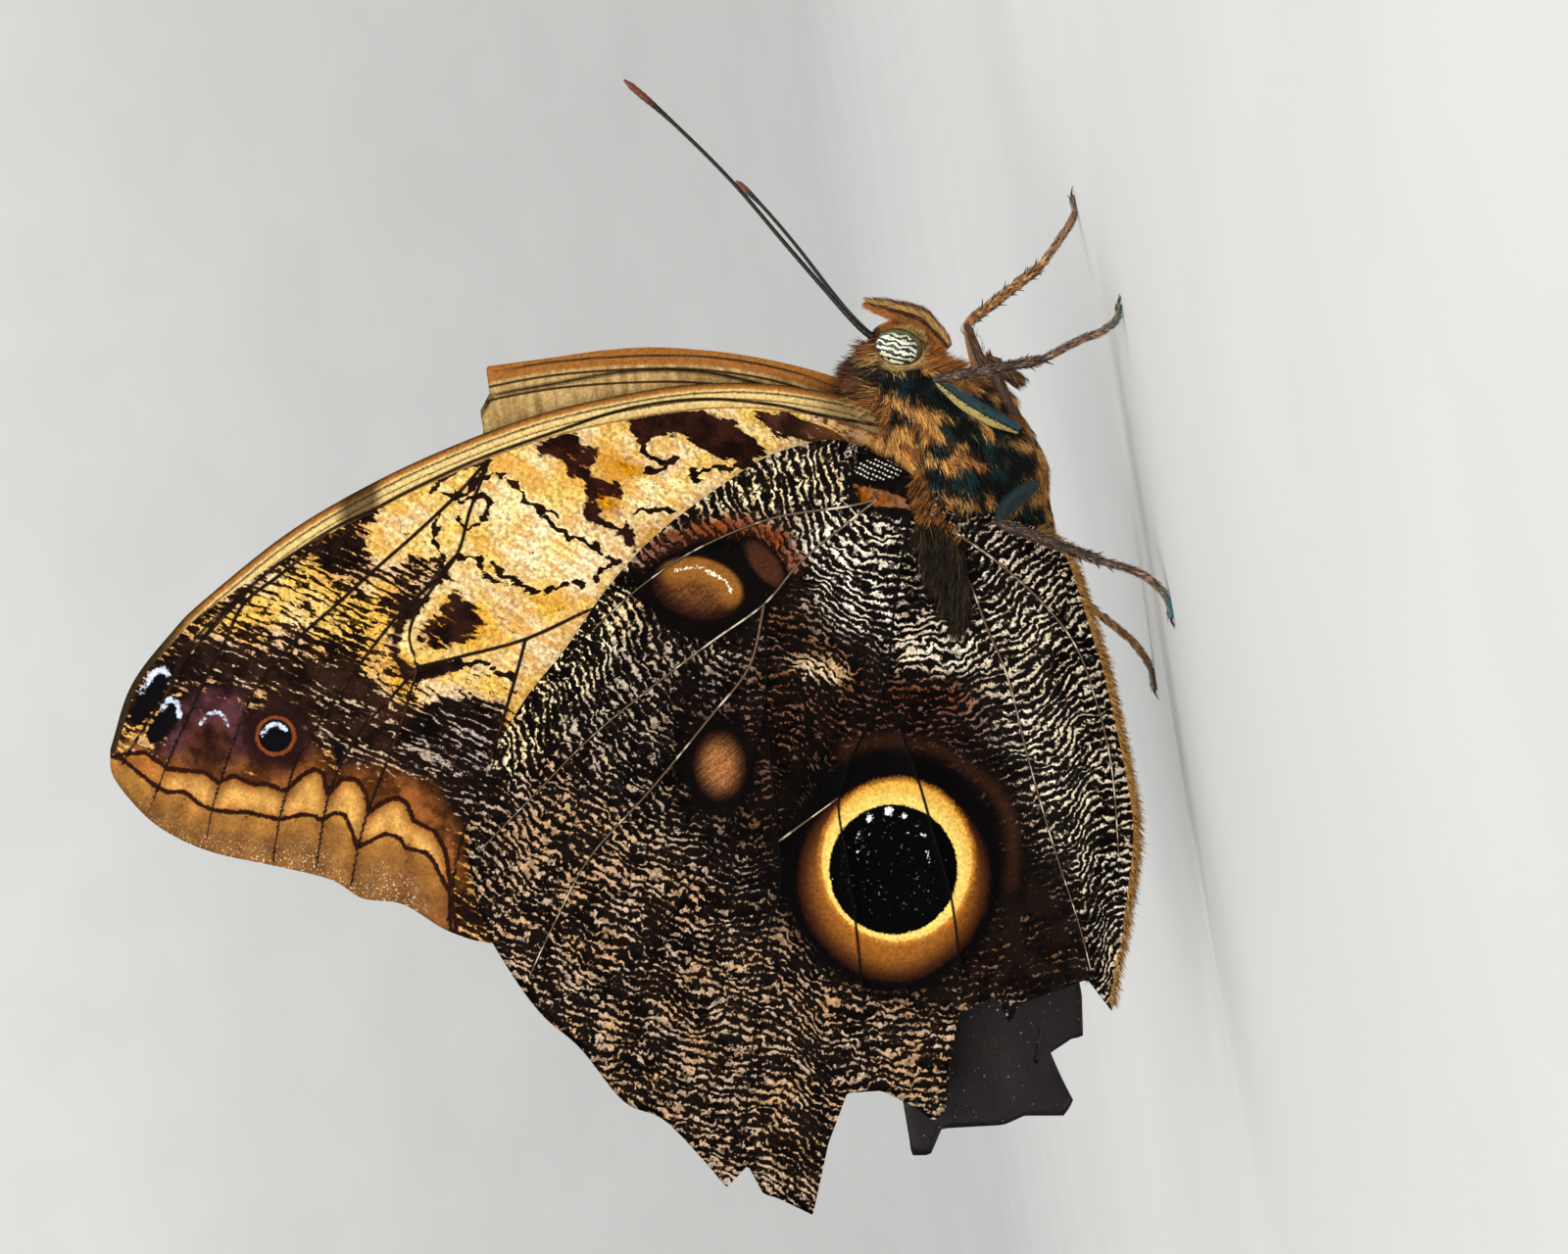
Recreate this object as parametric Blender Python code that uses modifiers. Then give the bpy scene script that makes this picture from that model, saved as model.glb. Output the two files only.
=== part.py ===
"""Owl butterfly at life size, wings closed over the back, standing on its four walking legs.

Every length is in millimetres until it is put into a mesh, which is in metres.
The wings, body and head are drawn in a side plane: u runs from the back towards the feet,
v runs from the tail towards the head, y runs from the animal's right to its left. place()
turns that plane so that the head points along +X and the feet stand at z = 0. The legs are
given straight in stance axes: x forward, y to the left, z above the floor.
"""
import math

import bmesh
import bpy
import numpy as np
from mathutils import Matrix, Vector
from mathutils.geometry import delaunay_2d_cdt

MM = 0.001
WELD = 2e-6                     # metres; points closer than this are one
GAP = 0.3                       # between neighbouring solids
ROLL = math.radians(9.5)        # body axis against the surface it clings to
PLANE_X = 12.8                  # stance x of the drawing plane's zero point
PLANE_Y = -4.4                  # stance y of the animal's middle plane
PLANE_Z = 21.2                  # height of the drawing plane's zero point above the feet
LEG_X = 6.3                     # from the legs' own zero to the stance zero

RIGHT = -1
LEFT = 1

# Wings
MEMBRANE = 0.5                  # thickness between veins
VEIN = 0.9                      # thickness on a vein and on the leading edge
VEIN_STEP = 3.4                 # spacing of points along a vein
VEIN_FLANK = 0.75               # half the width of a vein's ridge
RIM_STEP = 2.1                  # spacing of points along a smooth margin
CELL = 3.5                      # spacing of points in the open membrane
FORE_ROOT = (0.3, 4.2)
HIND_ROOT = (1.25, -1.7)
FORE_DEPTH = 0.65               # forewing's middle surface from the animal's middle plane
FORE_FLARE = 2.75               # how much further out the forewing starts at its root
FORE_FLARE_REACH = 4.5
HIND_DEPTH = 1.9
HIND_FLARE = 2.5
HIND_FLARE_REACH = 7.0
ABDOMEN_BULGE = 2.0             # hindwing passing round the abdomen
ABDOMEN_BULGE_REACH = 4.5
SPREAD = 0.018                  # opening of the wings per millimetre from the body
SPREAD_START = 15.0

FORE_COSTA = [(0.5, 4.8), (-3.5, 6.3), (-9.6, 7.3), (-15.8, 7.3), (-22.0, 6.4), (-29.2, 4.7), (-36.3, 2.1),
              (-43.4, -1.2), (-50.5, -5.4), (-57.6, -11.1), (-60.2, -13.7), (-63.7, -18.3), (-65.5, -23.8)]
FORE_TERMEN = [(-65.5, -23.8), (-65.2, -26.1), (-62.6, -29.3), (-59.9, -31.2), (-56.4, -32.6), (-51.7, -33.6),
               (-46.8, -34.8), (-44.1, -36.4), (-40.7, -36.9), (-37.0, -39.1), (-33.4, -40.2), (-29.6, -40.1)]
FORE_INNER = [(-29.6, -40.1), (-21.7, -30.0), (-11.7, -15.0), (-4.2, -1.7), (-1.3, 1.8), (0.4, 3.0)]
HIND_LEADING = [(2.9, -0.9), (0.4, 0.7), (-3.5, 2.4), (-6.6, 2.1), (-9.7, 1.1), (-12.7, -0.7), (-18.9, -5.3),
                (-23.2, -9.9), (-26.8, -15.1), (-30.6, -20.0), (-34.2, -27.0), (-35.0, -32.7), (-33.7, -38.5),
                (-31.4, -42.7), (-28.8, -46.2), (-25.6, -49.0), (-21.9, -53.5), (-18.6, -55.0), (-15.3, -58.3),
                (-13.2, -60.8)]
HIND_TORN = [(-12.2, -58.9), (-11.4, -58.9), (-10.1, -61.3), (-8.8, -61.7), (-5.9, -63.1), (-4.6, -57.1),
             (-3.0, -52.8), (-0.1, -52.6), (2.8, -54.0), (4.3, -55.2), (5.3, -54.3), (5.8, -49.7),
             (6.4, -46.2), (9.5, -44.6), (10.8, -47.0), (11.5, -45.3), (17.3, -43.2), (19.4, -45.9)]
HIND_INNER = [(19.4, -45.9), (19.9, -42.7), (20.7, -38.8), (21.6, -31.5), (21.0, -26.2), (19.3, -18.1),
              (18.4, -14.8), (16.1, -7.7), (14.6, -5.8), (12.3, -4.7), (9.8, -4.3)]

# Left wings, where they differ from the right ones
LEFT_FORE_TURN = math.radians(8.7)
LEFT_FORE_COSTA = [(0.0, 5.5), (-3.1, 7.7), (-10.9, 9.7), (-18.4, 10.5), (-23.4, 10.3), (-28.5, 9.6), (-33.8, 8.9)]
LEFT_FORE_BREAK = [(-33.3, 8.3), (-33.5, 6.6), (-34.3, 5.1), (-34.0, 3.3), (-36.0, -1.6), (-35.2, -6.7),
                   (-37.5, -13.4), (-36.7, -20.1), (-39.4, -26.8), (-38.5, -33.5)]
LEFT_FORE_INNER = [(-38.5, -33.5), (-28.5, -24.3), (-15.1, -11.7), (-4.2, -0.6), (-1.2, 2.4), (0.5, 3.2)]
LEFT_HIND_LEADING = [(2.9, -1.0), (0.4, 0.4), (-3.4, 2.0), (-6.5, 1.7), (-9.4, 0.7), (-12.4, -1.1), (-18.5, -5.6),
                     (-22.8, -10.2), (-26.4, -15.4), (-30.2, -20.3), (-33.7, -27.1), (-34.5, -32.7),
                     (-33.2, -38.3), (-30.9, -42.4), (-28.3, -45.8), (-25.2, -48.6), (-21.6, -52.6), (-17.8, -54.4)]
LEFT_HIND_TORN = [(-13.0, -54.5), (-9.0, -59.0), (-7.0, -59.8), (-5.2, -55.4), (-3.6, -51.6), (1.5, -52.0),
                  (2.4, -57.3), (2.6, -58.7), (4.2, -58.7), (5.2, -56.4), (10.5, -56.1), (12.3, -55.3),
                  (15.7, -55.3), (16.5, -54.0), (15.0, -51.3), (13.0, -50.9), (16.3, -48.7), (17.3, -48.5),
                  (17.2, -44.9), (16.9, -43.4)]
LEFT_HIND_INNER = [(16.9, -43.4), (18.8, -42.6), (20.2, -38.6), (21.0, -31.5), (20.5, -26.2), (18.9, -18.1),
                   (18.0, -14.8), (15.8, -8.0), (14.4, -6.0), (12.3, -4.9), (9.8, -4.5)]

FORE_VEINS = [
    [(-0.3, 3.6), (-5.1, 4.6), (-9.7, 5.6), (-15.8, 6.0), (-22.0, 5.1), (-28.1, 3.1), (-34.3, 0.9), (-40.4, -1.9),
     (-47.4, -6.2)],
    [(-33.4, 0.8), (-39.9, -5.7), (-46.6, -11.7), (-52.6, -16.7), (-59.5, -19.8)],
    [(-36.1, -7.2), (-40.8, -12.0), (-44.1, -16.4), (-47.8, -20.0), (-52.6, -25.8), (-56.4, -31.8)],
    [(-1.5, 1.9), (-10.0, -3.4), (-21.1, -10.2), (-25.1, -12.0), (-30.3, -14.4), (-35.5, -15.8), (-39.5, -16.8)],
    [(-39.5, -16.8), (-42.3, -20.0), (-46.8, -25.8), (-49.3, -29.6), (-51.0, -33.0)],
    [(-39.5, -16.8), (-40.4, -19.8), (-42.5, -26.2), (-43.7, -29.4), (-44.6, -35.4)],
    [(-30.3, -14.4), (-31.2, -17.8), (-33.6, -25.7), (-35.8, -31.7), (-36.9, -38.3)],
    [(-21.1, -10.2), (-25.0, -20.0), (-28.3, -29.2), (-31.4, -39.2)],
    [(-33.4, 0.8), (-35.0, -3.4), (-36.1, -7.2), (-38.5, -10.5), (-40.1, -13.6), (-39.5, -16.8)],
]
HIND_VEINS = [
    [(-0.5, -2.6), (-3.1, -3.2), (-9.5, -4.2), (-15.8, -6.8), (-20.7, -10.1), (-24.5, -13.6)],
    [(-0.5, -2.6), (-3.0, -4.6), (-6.9, -7.8), (-10.0, -11.4), (-14.6, -14.7), (-19.6, -18.5), (-24.8, -22.8),
     (-29.8, -27.9), (-34.2, -32.4)],
    [(-10.0, -11.4), (-11.3, -16.7), (-14.6, -21.0), (-19.6, -27.1), (-24.8, -32.9), (-27.9, -38.7), (-30.2, -43.6)],
    [(-10.0, -11.4), (-9.9, -20.0), (-11.3, -25.5), (-13.6, -31.2), (-17.2, -36.4), (-19.5, -41.5), (-21.8, -48.7),
     (-22.4, -52.0)],
    [(-9.9, -20.0), (-9.3, -26.6), (-8.8, -31.5), (-8.7, -35.2), (-9.8, -39.9), (-10.9, -48.0), (-12.0, -58.0)],
    [(-8.8, -31.5), (-3.7, -27.8)],
    [(2.4, -3.4), (1.4, -8.8), (0.8, -13.4), (0.2, -18.3), (-1.8, -22.8), (-3.7, -27.8), (-3.0, -33.2), (-2.1, -40.0),
     (-1.6, -45.9), (-1.2, -51.8)],
    [(0.2, -18.3), (1.6, -22.2), (3.1, -26.6), (4.5, -31.6), (5.9, -36.9), (6.9, -44.8)],
    [(4.1, -3.8), (7.1, -9.1), (8.8, -13.4), (10.6, -17.8), (12.3, -24.5), (14.3, -31.5), (16.5, -38.2), (17.6, -42.4)],
    [(6.1, -5.4), (9.9, -8.1), (13.6, -11.5), (16.2, -14.9), (17.8, -19.1), (19.2, -24.9), (19.9, -32.8)],
]

# Thorax and abdomen rows: v, dorsal u, ventral u, half width
THORAX_ROWS = [(10.6, -0.9, -0.9, 0.0), (10.0, -1.7, -0.1, 0.7), (9.3, -2.2, 1.8, 1.5), (8.6, -2.6, 5.8, 2.3),
               (7.8, -2.8, 9.2, 3.1), (6.4, -2.9, 11.3, 4.0),
               (5.0, -3.0, 12.0, 4.5), (2.9, -2.7, 13.2, 4.9), (0.3, -2.2, 14.3, 5.0), (-2.5, -1.3, 14.5, 4.8),
               (-5.0, 0.4, 14.9, 4.3), (-7.1, 3.3, 14.4, 3.5), (-8.8, 6.3, 13.1, 2.4), (-9.9, 10.0, 10.0, 0.0)]
ABDOMEN_ROWS = [(-5.6, 10.2, 10.2, 0.0), (-6.7, 8.4, 13.0, 2.0), (-9.2, 9.4, 15.2, 2.7), (-13.4, 10.8, 17.0, 3.05),
                (-18.4, 12.3, 18.5, 3.1), (-22.5, 13.7, 19.3, 2.8), (-25.9, 15.2, 19.4, 2.1), (-28.4, 16.8, 19.0, 1.1),
                (-29.6, 18.0, 18.0, 0.0)]
ABDOMEN_SEGMENTS = 8
SEGMENT_GROOVE = 0.16

# Head
HEAD_CENTRE = (1.35, 10.35, 0.0)
HEAD_TILT = math.radians(12.0)
HEAD_RADII = (2.8, 2.45, 2.7)           # along the eye's long axis, across it, to the side
EYE_CENTRE = (1.4, 10.35, 2.2)
EYE_RADII = (2.05, 1.56, 1.4)
PALP_PATH = [(5.6, 10.4, 0.95), (4.9, 11.3, 1.0), (3.4, 12.75, 1.05), (1.0, 13.6, 1.05), (-0.3, 13.95, 1.0),
             (-1.3, 14.2, 0.95)]
PALP_RADII = [0.36, 0.42, 0.46, 0.44, 0.3, 0.12]
COIL_CENTRE = (4.95, 10.7)
COIL_RADIUS = 0.75
COIL_PITCH = 0.52
COIL_TURNS = 1.1
COIL_THICKNESS = 0.21
RIGHT_ANTENNA = [(-0.2, 10.9, -0.8), (-0.8, 11.3, -1.0), (-2.0, 12.2, -1.2), (-4.2, 14.5, -1.6), (-8.0, 18.8, -2.4),
                 (-12.7, 24.2, -3.5), (-17.7, 29.1, -4.5), (-21.8, 32.6, -5.4)]
LEFT_ANTENNA = [(-0.2, 10.9, 0.8), (-0.8, 11.4, 1.4), (-2.2, 13.0, 3.6), (-4.1, 15.6, 7.0), (-6.9, 19.8, 13.0),
                (-9.0, 22.7, 17.0), (-10.8, 25.0, 20.5), (-12.7, 27.1, 24.0)]
ANTENNA_RADII = [0.34, 0.3, 0.27, 0.25, 0.25, 0.26, 0.36, 0.2]

# Legs: joints in stance axes, before LEG_X and PLANE_Y are added
MID_RIGHT = {"hip": (7.9, -3.4, 9.4), "knee": (12.9, -8.5, 15.7), "ankle": (12.9, -12.0, 7.1),
             "tarsus": [(13.9, -13.0, 3.9), (14.3, -13.6, 2.0), (15.1, -14.1, 0.6), (16.2, -14.4, 0.22)]}
HIND_RIGHT = {"hip": (3.0, -3.6, 8.7), "knee": (0.3, -8.5, 12.6), "ankle": (-4.3, -11.5, 4.8),
              "tarsus": [(-5.6, -12.8, 2.3), (-7.0, -13.6, 0.9), (-8.3, -14.0, 0.24), (-9.8, -14.2, 0.2)]}
MID_LEFT = {"hip": (8.9, 3.4, 9.4), "knee": (18.1, 8.5, 11.6), "ankle": (22.3, 12.0, 4.1),
            "tarsus": [(24.4, 12.9, 2.0), (25.6, 13.4, 0.9), (26.6, 13.8, 0.24), (28.0, 14.2, 0.2)]}
HIND_LEFT = {"hip": (3.0, 3.6, 8.7), "knee": (-1.2, 8.8, 11.9), "ankle": (-8.6, 11.7, 4.3),
             "tarsus": [(-11.2, 12.7, 1.9), (-13.0, 13.4, 0.8), (-14.4, 13.9, 0.24), (-16.2, 14.2, 0.2)]}
FEMUR_RADII = (0.5, 0.8, 0.72, 0.42)
TIBIA_RADII = (0.42, 0.5, 0.46, 0.4)
TARSUS_RADIUS = 0.34
SPINES = 7
SPINE_LENGTH = 0.75
SPUR_LENGTH = 1.3
CLAW_LENGTH = 0.9
FEMUR_BOW = 0.5                 # the femur's arch above the straight line from hip to knee
FLOOR_SIZE = 90.0
FLOOR_DEPTH = 4.0
FORELEG = {"hip": (11.0, 4.6, 1.9), "knee": (9.0, 9.3, 2.1), "toe": (11.6, 7.6, 2.5)}
FORELEG_RADII = (0.62, 0.55, 0.3)

COLLECTION = "owl_butterfly"


def place(u, v, y):
    """A point of the drawing plane, y to the animal's left, as a position in metres."""
    x = PLANE_X - math.sin(ROLL) * u + math.cos(ROLL) * v
    z = PLANE_Z - math.cos(ROLL) * u - math.sin(ROLL) * v
    return Vector((x, y + PLANE_Y, z)) * MM


def stance(x, y, z):
    """A leg's point as a position in metres."""
    return Vector((x + LEG_X, y + PLANE_Y, z)) * MM


def outward(build):
    """Turn a closed shape's faces outwards."""
    build.normal_update()
    if build.calc_volume(signed=True) < 0:
        bmesh.ops.reverse_faces(build, faces=build.faces)


def clear_scene():
    for item in list(bpy.data.objects):
        bpy.data.objects.remove(item, do_unlink=True)
    for item in list(bpy.data.collections):
        bpy.data.collections.remove(item)


def material(name, colour, roughness, metallic=0.0):
    result = bpy.data.materials.new(name)
    result.use_nodes = True
    shader = result.node_tree.nodes["Principled BSDF"]
    shader.inputs["Base Color"].default_value = (*colour, 1.0)
    shader.inputs["Roughness"].default_value = roughness
    shader.inputs["Metallic"].default_value = metallic
    return result


def smooth_path(points, step):
    """Points about one step apart on a Catmull-Rom curve through the given points."""
    pts = np.array(points, dtype=float)
    before = np.vstack([2 * pts[0] - pts[1], pts[:-1]])
    after = np.vstack([pts[2:], 2 * pts[-1] - pts[-2]]) if len(pts) > 2 else np.array([2 * pts[-1] - pts[-2]])
    result = []
    for i in range(len(pts) - 1):
        p0, p1, p2, p3 = before[i], pts[i], pts[i + 1], after[i]
        count = max(1, round(float(np.linalg.norm(p2 - p1)) / step))
        for t in np.arange(count) / count:
            result.append(0.5 * (2 * p1 + (p2 - p0) * t + (2 * p0 - 5 * p1 + 4 * p2 - p3) * t ** 2
                                 + (3 * p1 - p0 - 3 * p2 + p3) * t ** 3))
    result.append(pts[-1])
    return np.array(result)


def distance_to_path(point, path):
    """Shortest distance from a point to a path of straight pieces."""
    a, b = path[:-1], path[1:]
    along = b - a
    length = np.maximum((along ** 2).sum(axis=1), 1e-12)
    t = np.clip(((point - a) * along).sum(axis=1) / length, 0, 1)
    return float(np.sqrt((((a + along * t[:, None]) - point) ** 2).sum(axis=1)).min())


def inside(point, outline):
    """Whether a point lies in a closed outline, by counting crossings."""
    x, y = point
    x0, y0 = outline[:, 0], outline[:, 1]
    x1, y1 = np.roll(x0, -1), np.roll(y0, -1)
    span = (y0 > y) != (y1 > y)
    cross = x0 + (y - y0) * (x1 - x0) / np.where(span, y1 - y0, 1.0)
    return int((span & (x < cross)).sum()) % 2 == 1


def spread(u, v):
    return SPREAD * max(0.0, math.hypot(u, v) - SPREAD_START)


def fore_depth(u, v):
    """Distance of a forewing's middle surface from the animal's middle plane."""
    r = math.hypot(u - FORE_ROOT[0], v - FORE_ROOT[1])
    return FORE_DEPTH + FORE_FLARE * math.exp(-(r / FORE_FLARE_REACH) ** 2) + spread(u, v)


def hind_depth(u, v):
    """The same for a hindwing, which also passes round the abdomen."""
    r = math.hypot(u - HIND_ROOT[0], v - HIND_ROOT[1])
    axis = np.array([((row[1] + row[2]) / 2, row[0]) for row in ABDOMEN_ROWS])
    d = distance_to_path(np.array((u, v)), axis)
    flare = HIND_FLARE * math.exp(-(r / HIND_FLARE_REACH) ** 2)
    bulge = ABDOMEN_BULGE * math.exp(-(d / ABDOMEN_BULGE_REACH) ** 2)
    return HIND_DEPTH + flare + bulge + spread(u, v)


def wing_outline(stretches, step):
    """One closed outline from smooth stretches and stretches of straight torn edges."""
    points = []
    for kind, stretch in stretches:
        run = smooth_path(stretch, step) if kind == "smooth" else np.array(stretch, dtype=float)
        for p in run:
            if not points or math.hypot(p[0] - points[-1][0], p[1] - points[-1][1]) > 0.05:
                points.append((float(p[0]), float(p[1])))
    if math.hypot(points[0][0] - points[-1][0], points[0][1] - points[-1][1]) < 0.05:
        points.pop()
    return np.array(points)


def vein_points(veins, outline):
    """Points along each vein inside the outline, and the flanks of its ridge."""
    rim = np.vstack([outline, outline[:1]])
    paths = []
    for vein in veins:
        run = smooth_path(vein, VEIN_STEP)
        run = [p for p in run if inside(p, outline) and distance_to_path(p, rim) > 0.45]
        if len(run) > 1:
            paths.append(np.array(run))
    flanks = []
    for i, path in enumerate(paths):
        along = np.gradient(path, axis=0)
        along /= np.linalg.norm(along, axis=1)[:, None]
        across = np.column_stack([-along[:, 1], along[:, 0]]) * VEIN_FLANK
        for p in np.vstack([path + across, path - across]):
            apart = min([distance_to_path(p, other) for j, other in enumerate(paths) if j != i] + [9.0])
            crowd = min([math.hypot(p[0] - q[0], p[1] - q[1]) for q in flanks] + [9.0])
            if apart > 0.7 and crowd > 0.6 and inside(p, outline) and distance_to_path(p, rim) > 0.6:
                flanks.append(p)
    return paths, flanks


def membrane_points(paths, outline):
    """A honeycomb of points in the open membrane, clear of veins and rim."""
    rim = np.vstack([outline, outline[:1]])
    low, high = outline.min(axis=0), outline.max(axis=0)
    points = []
    row = 0
    v = low[1]
    while v < high[1]:
        u = low[0] + (CELL / 2 if row % 2 else 0.0)
        while u < high[0]:
            p = np.array((u, v))
            if inside(p, outline) and distance_to_path(p, rim) > 1.5:
                if min(distance_to_path(p, path) for path in paths) > 2.0:
                    points.append(p)
            u += CELL
        v += CELL * math.sqrt(0.75)
        row += 1
    return points


def make_wing(name, stretches, veins, depth, side, costa_points, look):
    """A triangulated sheet with its veins as edges, thickened, and thicker on the veins."""
    outline = wing_outline(stretches, RIM_STEP)
    paths, flanks = vein_points(veins, outline)
    points = [tuple(p) for p in outline]
    edges = [(i, (i + 1) % len(outline)) for i in range(len(outline))]
    ridge = set(range(costa_points))
    for path in paths:
        start = len(points)
        points += [tuple(p) for p in path]
        ridge |= set(range(start, len(points)))
        edges += [(i, i + 1) for i in range(start, len(points) - 1)]
    points += [tuple(p) for p in flanks]
    points += [tuple(p) for p in membrane_points(paths, outline)]
    flat, _, faces, origin, _, _ = delaunay_2d_cdt([Vector(p) for p in points], edges, [], 1, 0.02)
    mesh = bpy.data.meshes.new(name)
    mesh.from_pydata([place(p.x, p.y, side * depth(p.x, p.y)) for p in flat], [], [list(f) for f in faces])
    mesh.update()
    wing = bpy.data.objects.new(name, mesh)
    group = wing.vertex_groups.new(name="vein")
    raised = [i for i, source in enumerate(origin) if not source or ridge & set(source)]
    group.add(raised, 1.0, "REPLACE")
    rim = wing.modifiers.new("thickness", "SOLIDIFY")
    rim.thickness = VEIN * MM
    rim.offset = 0.0
    rim.vertex_group = "vein"
    rim.thickness_vertex_group = MEMBRANE / VEIN
    mesh.materials.append(look)
    parts.objects.link(wing)
    return wing


def row_values(rows, t):
    """Rows of a body blended along its length, t from 0 to 1."""
    table = np.array(rows)
    path = smooth_path(table, 0.6)
    at = np.linspace(0, 1, len(path))
    return [float(np.interp(t, at, path[:, k])) for k in range(4)]


def make_body(name, rows, segments, rings, look, swell=0.0, groove=0.0, grooves=0):
    """A sphere drawn out into a body: each ring takes the dorsal, ventral and side limits of its row."""
    mesh = bpy.data.meshes.new(name)
    build = bmesh.new()
    bmesh.ops.create_uvsphere(build, u_segments=segments, v_segments=rings, radius=1.0)
    middle = (rows[0][0] + rows[-1][0]) / 2
    half_length = abs(rows[0][0] - rows[-1][0]) / 2
    for vertex in build.verts:
        height = max(-1.0, min(1.0, vertex.co.z))
        t = math.acos(height) / math.pi
        v, dorsal, ventral, half_width = row_values(rows, t)
        angle = math.atan2(vertex.co.y, vertex.co.x)
        ring = 0.0 if abs(height) > 0.9999 else 1.0
        dent = groove * ring * max(0.0, math.cos(2 * math.pi * grooves * t)) ** 4
        half_depth = max(0.0, (ventral - dorsal) / 2) * ring
        half_depth = max(0.0, half_depth - dent) + swell * ring
        width = max(0.0, half_width * ring - dent) + swell * ring
        v += swell * (v - middle) / half_length
        u = (dorsal + ventral) / 2 + half_depth * math.cos(angle)
        vertex.co = place(u, v, width * math.sin(angle))
    outward(build)
    build.to_mesh(mesh)
    build.free()
    mesh.shade_smooth()
    mesh.materials.append(look)
    return bpy.data.objects.new(name, mesh)


def make_ellipsoid(name, centre, radii, tilt, segments, rings, look, swell=0.0):
    """An ellipsoid whose long axis lies in the drawing plane, turned by the tilt."""
    mesh = bpy.data.meshes.new(name)
    build = bmesh.new()
    bmesh.ops.create_uvsphere(build, u_segments=segments, v_segments=rings, radius=1.0)
    for vertex in build.verts:
        along = vertex.co.x * (radii[0] + swell)
        across = vertex.co.y * (radii[1] + swell)
        u = centre[0] + along * math.cos(tilt) + across * math.sin(tilt)
        v = centre[1] - along * math.sin(tilt) + across * math.cos(tilt)
        vertex.co = place(u, v, centre[2] + vertex.co.z * (radii[2] + swell))
    outward(build)
    build.to_mesh(mesh)
    build.free()
    mesh.shade_smooth()
    mesh.materials.append(look)
    return bpy.data.objects.new(name, mesh)


def make_tube(name, points, radii, look, resolution=2):
    """A tapered round rod along points in metres, its radii in millimetres, as a closed mesh."""
    curve = bpy.data.curves.new(name, "CURVE")
    curve.dimensions = "3D"
    curve.bevel_depth = MM
    curve.bevel_resolution = resolution
    curve.use_fill_caps = True
    line = curve.splines.new("POLY")
    line.points.add(len(points) - 1)
    for node, point, radius in zip(line.points, points, radii):
        node.co = (*point, 1.0)
        node.radius = radius
    source = bpy.data.objects.new(name, curve)
    bpy.context.scene.collection.objects.link(source)
    mesh = bpy.data.meshes.new_from_object(source.evaluated_get(bpy.context.evaluated_depsgraph_get()))
    bpy.data.objects.remove(source)
    build = bmesh.new()
    build.from_mesh(mesh)
    bmesh.ops.remove_doubles(build, verts=build.verts, dist=0.00001)
    outward(build)
    build.to_mesh(mesh)
    build.free()
    mesh.shade_smooth()
    mesh.materials.clear()
    mesh.materials.append(look)
    return bpy.data.objects.new(name, mesh)


def drop_flaps(build):
    """Remove faces lying back to back on the same three points."""
    seen = {}
    for face in build.faces:
        seen.setdefault(frozenset(face.verts), []).append(face)
    flaps = [face for faces in seen.values() if len(faces) > 1 for face in faces]
    bmesh.ops.delete(build, geom=flaps, context="FACES")


def bake(item):
    """Put an object's modifiers into its mesh and keep the largest closed surface."""
    graph = bpy.context.evaluated_depsgraph_get()
    mesh = bpy.data.meshes.new_from_object(item.evaluated_get(graph))
    item.modifiers.clear()
    item.data = mesh
    build = bmesh.new()
    build.from_mesh(mesh)
    build.faces.ensure_lookup_table()
    left = set(build.faces)
    islands = []
    while left:
        island = {left.pop()}
        edge_front = list(island)
        while edge_front:
            face = edge_front.pop()
            for edge in face.edges:
                for other in edge.link_faces:
                    if other in left:
                        left.remove(other)
                        island.add(other)
                        edge_front.append(other)
        islands.append(island)
    if len(islands) > 1:
        islands.sort(key=lambda faces: sum(face.calc_area() for face in faces))
        for island in islands[:-1]:
            bmesh.ops.delete(build, geom=list(island), context="FACES")
    bmesh.ops.remove_doubles(build, verts=build.verts, dist=WELD)
    bmesh.ops.dissolve_degenerate(build, dist=WELD, edges=build.edges)
    bmesh.ops.triangulate(build, faces=build.faces)
    drop_flaps(build)
    build.to_mesh(mesh)
    build.free()
    return item


def join(item, extras):
    """Fuse closed meshes into an object by one Boolean union."""
    parts.objects.link(item)
    group = bpy.data.collections.new("joined")
    bpy.context.scene.collection.children.link(group)
    for extra in extras:
        group.objects.link(extra)
    union = item.modifiers.new("join", "BOOLEAN")
    union.operand_type = "COLLECTION"
    union.collection = group
    union.operation = "UNION"
    union.solver = "EXACT"
    bake(item)
    for extra in extras:
        bpy.data.objects.remove(extra)
    bpy.data.collections.remove(group)
    return item


def cut(item, *tools):
    """Cut an object back from swelled copies of its neighbours."""
    for tool in tools:
        difference = item.modifiers.new("clear of " + tool.name, "BOOLEAN")
        difference.object = tool
        difference.operation = "DIFFERENCE"
        difference.solver = "EXACT"
    return bake(item)


def add_cutter(item):
    """Keep a swelled neighbour as a hidden tool."""
    item.hide_render = True
    item.display_type = "WIRE"
    cutters.objects.link(item)
    return item


def make_floor_tool():
    """A slab under the floor: what it cuts off a foot leaves a small flat at z = 0."""
    mesh = bpy.data.meshes.new("floor")
    build = bmesh.new()
    bmesh.ops.create_cube(build, size=1.0)
    bmesh.ops.scale(build, vec=(FLOOR_SIZE * MM, FLOOR_SIZE * MM, FLOOR_DEPTH * MM), verts=build.verts)
    bmesh.ops.translate(build, vec=(0, 0, -FLOOR_DEPTH / 2 * MM), verts=build.verts)
    build.to_mesh(mesh)
    build.free()
    return add_cutter(bpy.data.objects.new("floor", mesh))


def blend_points(start, end, fractions):
    return [start.lerp(end, t) for t in fractions]


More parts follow.
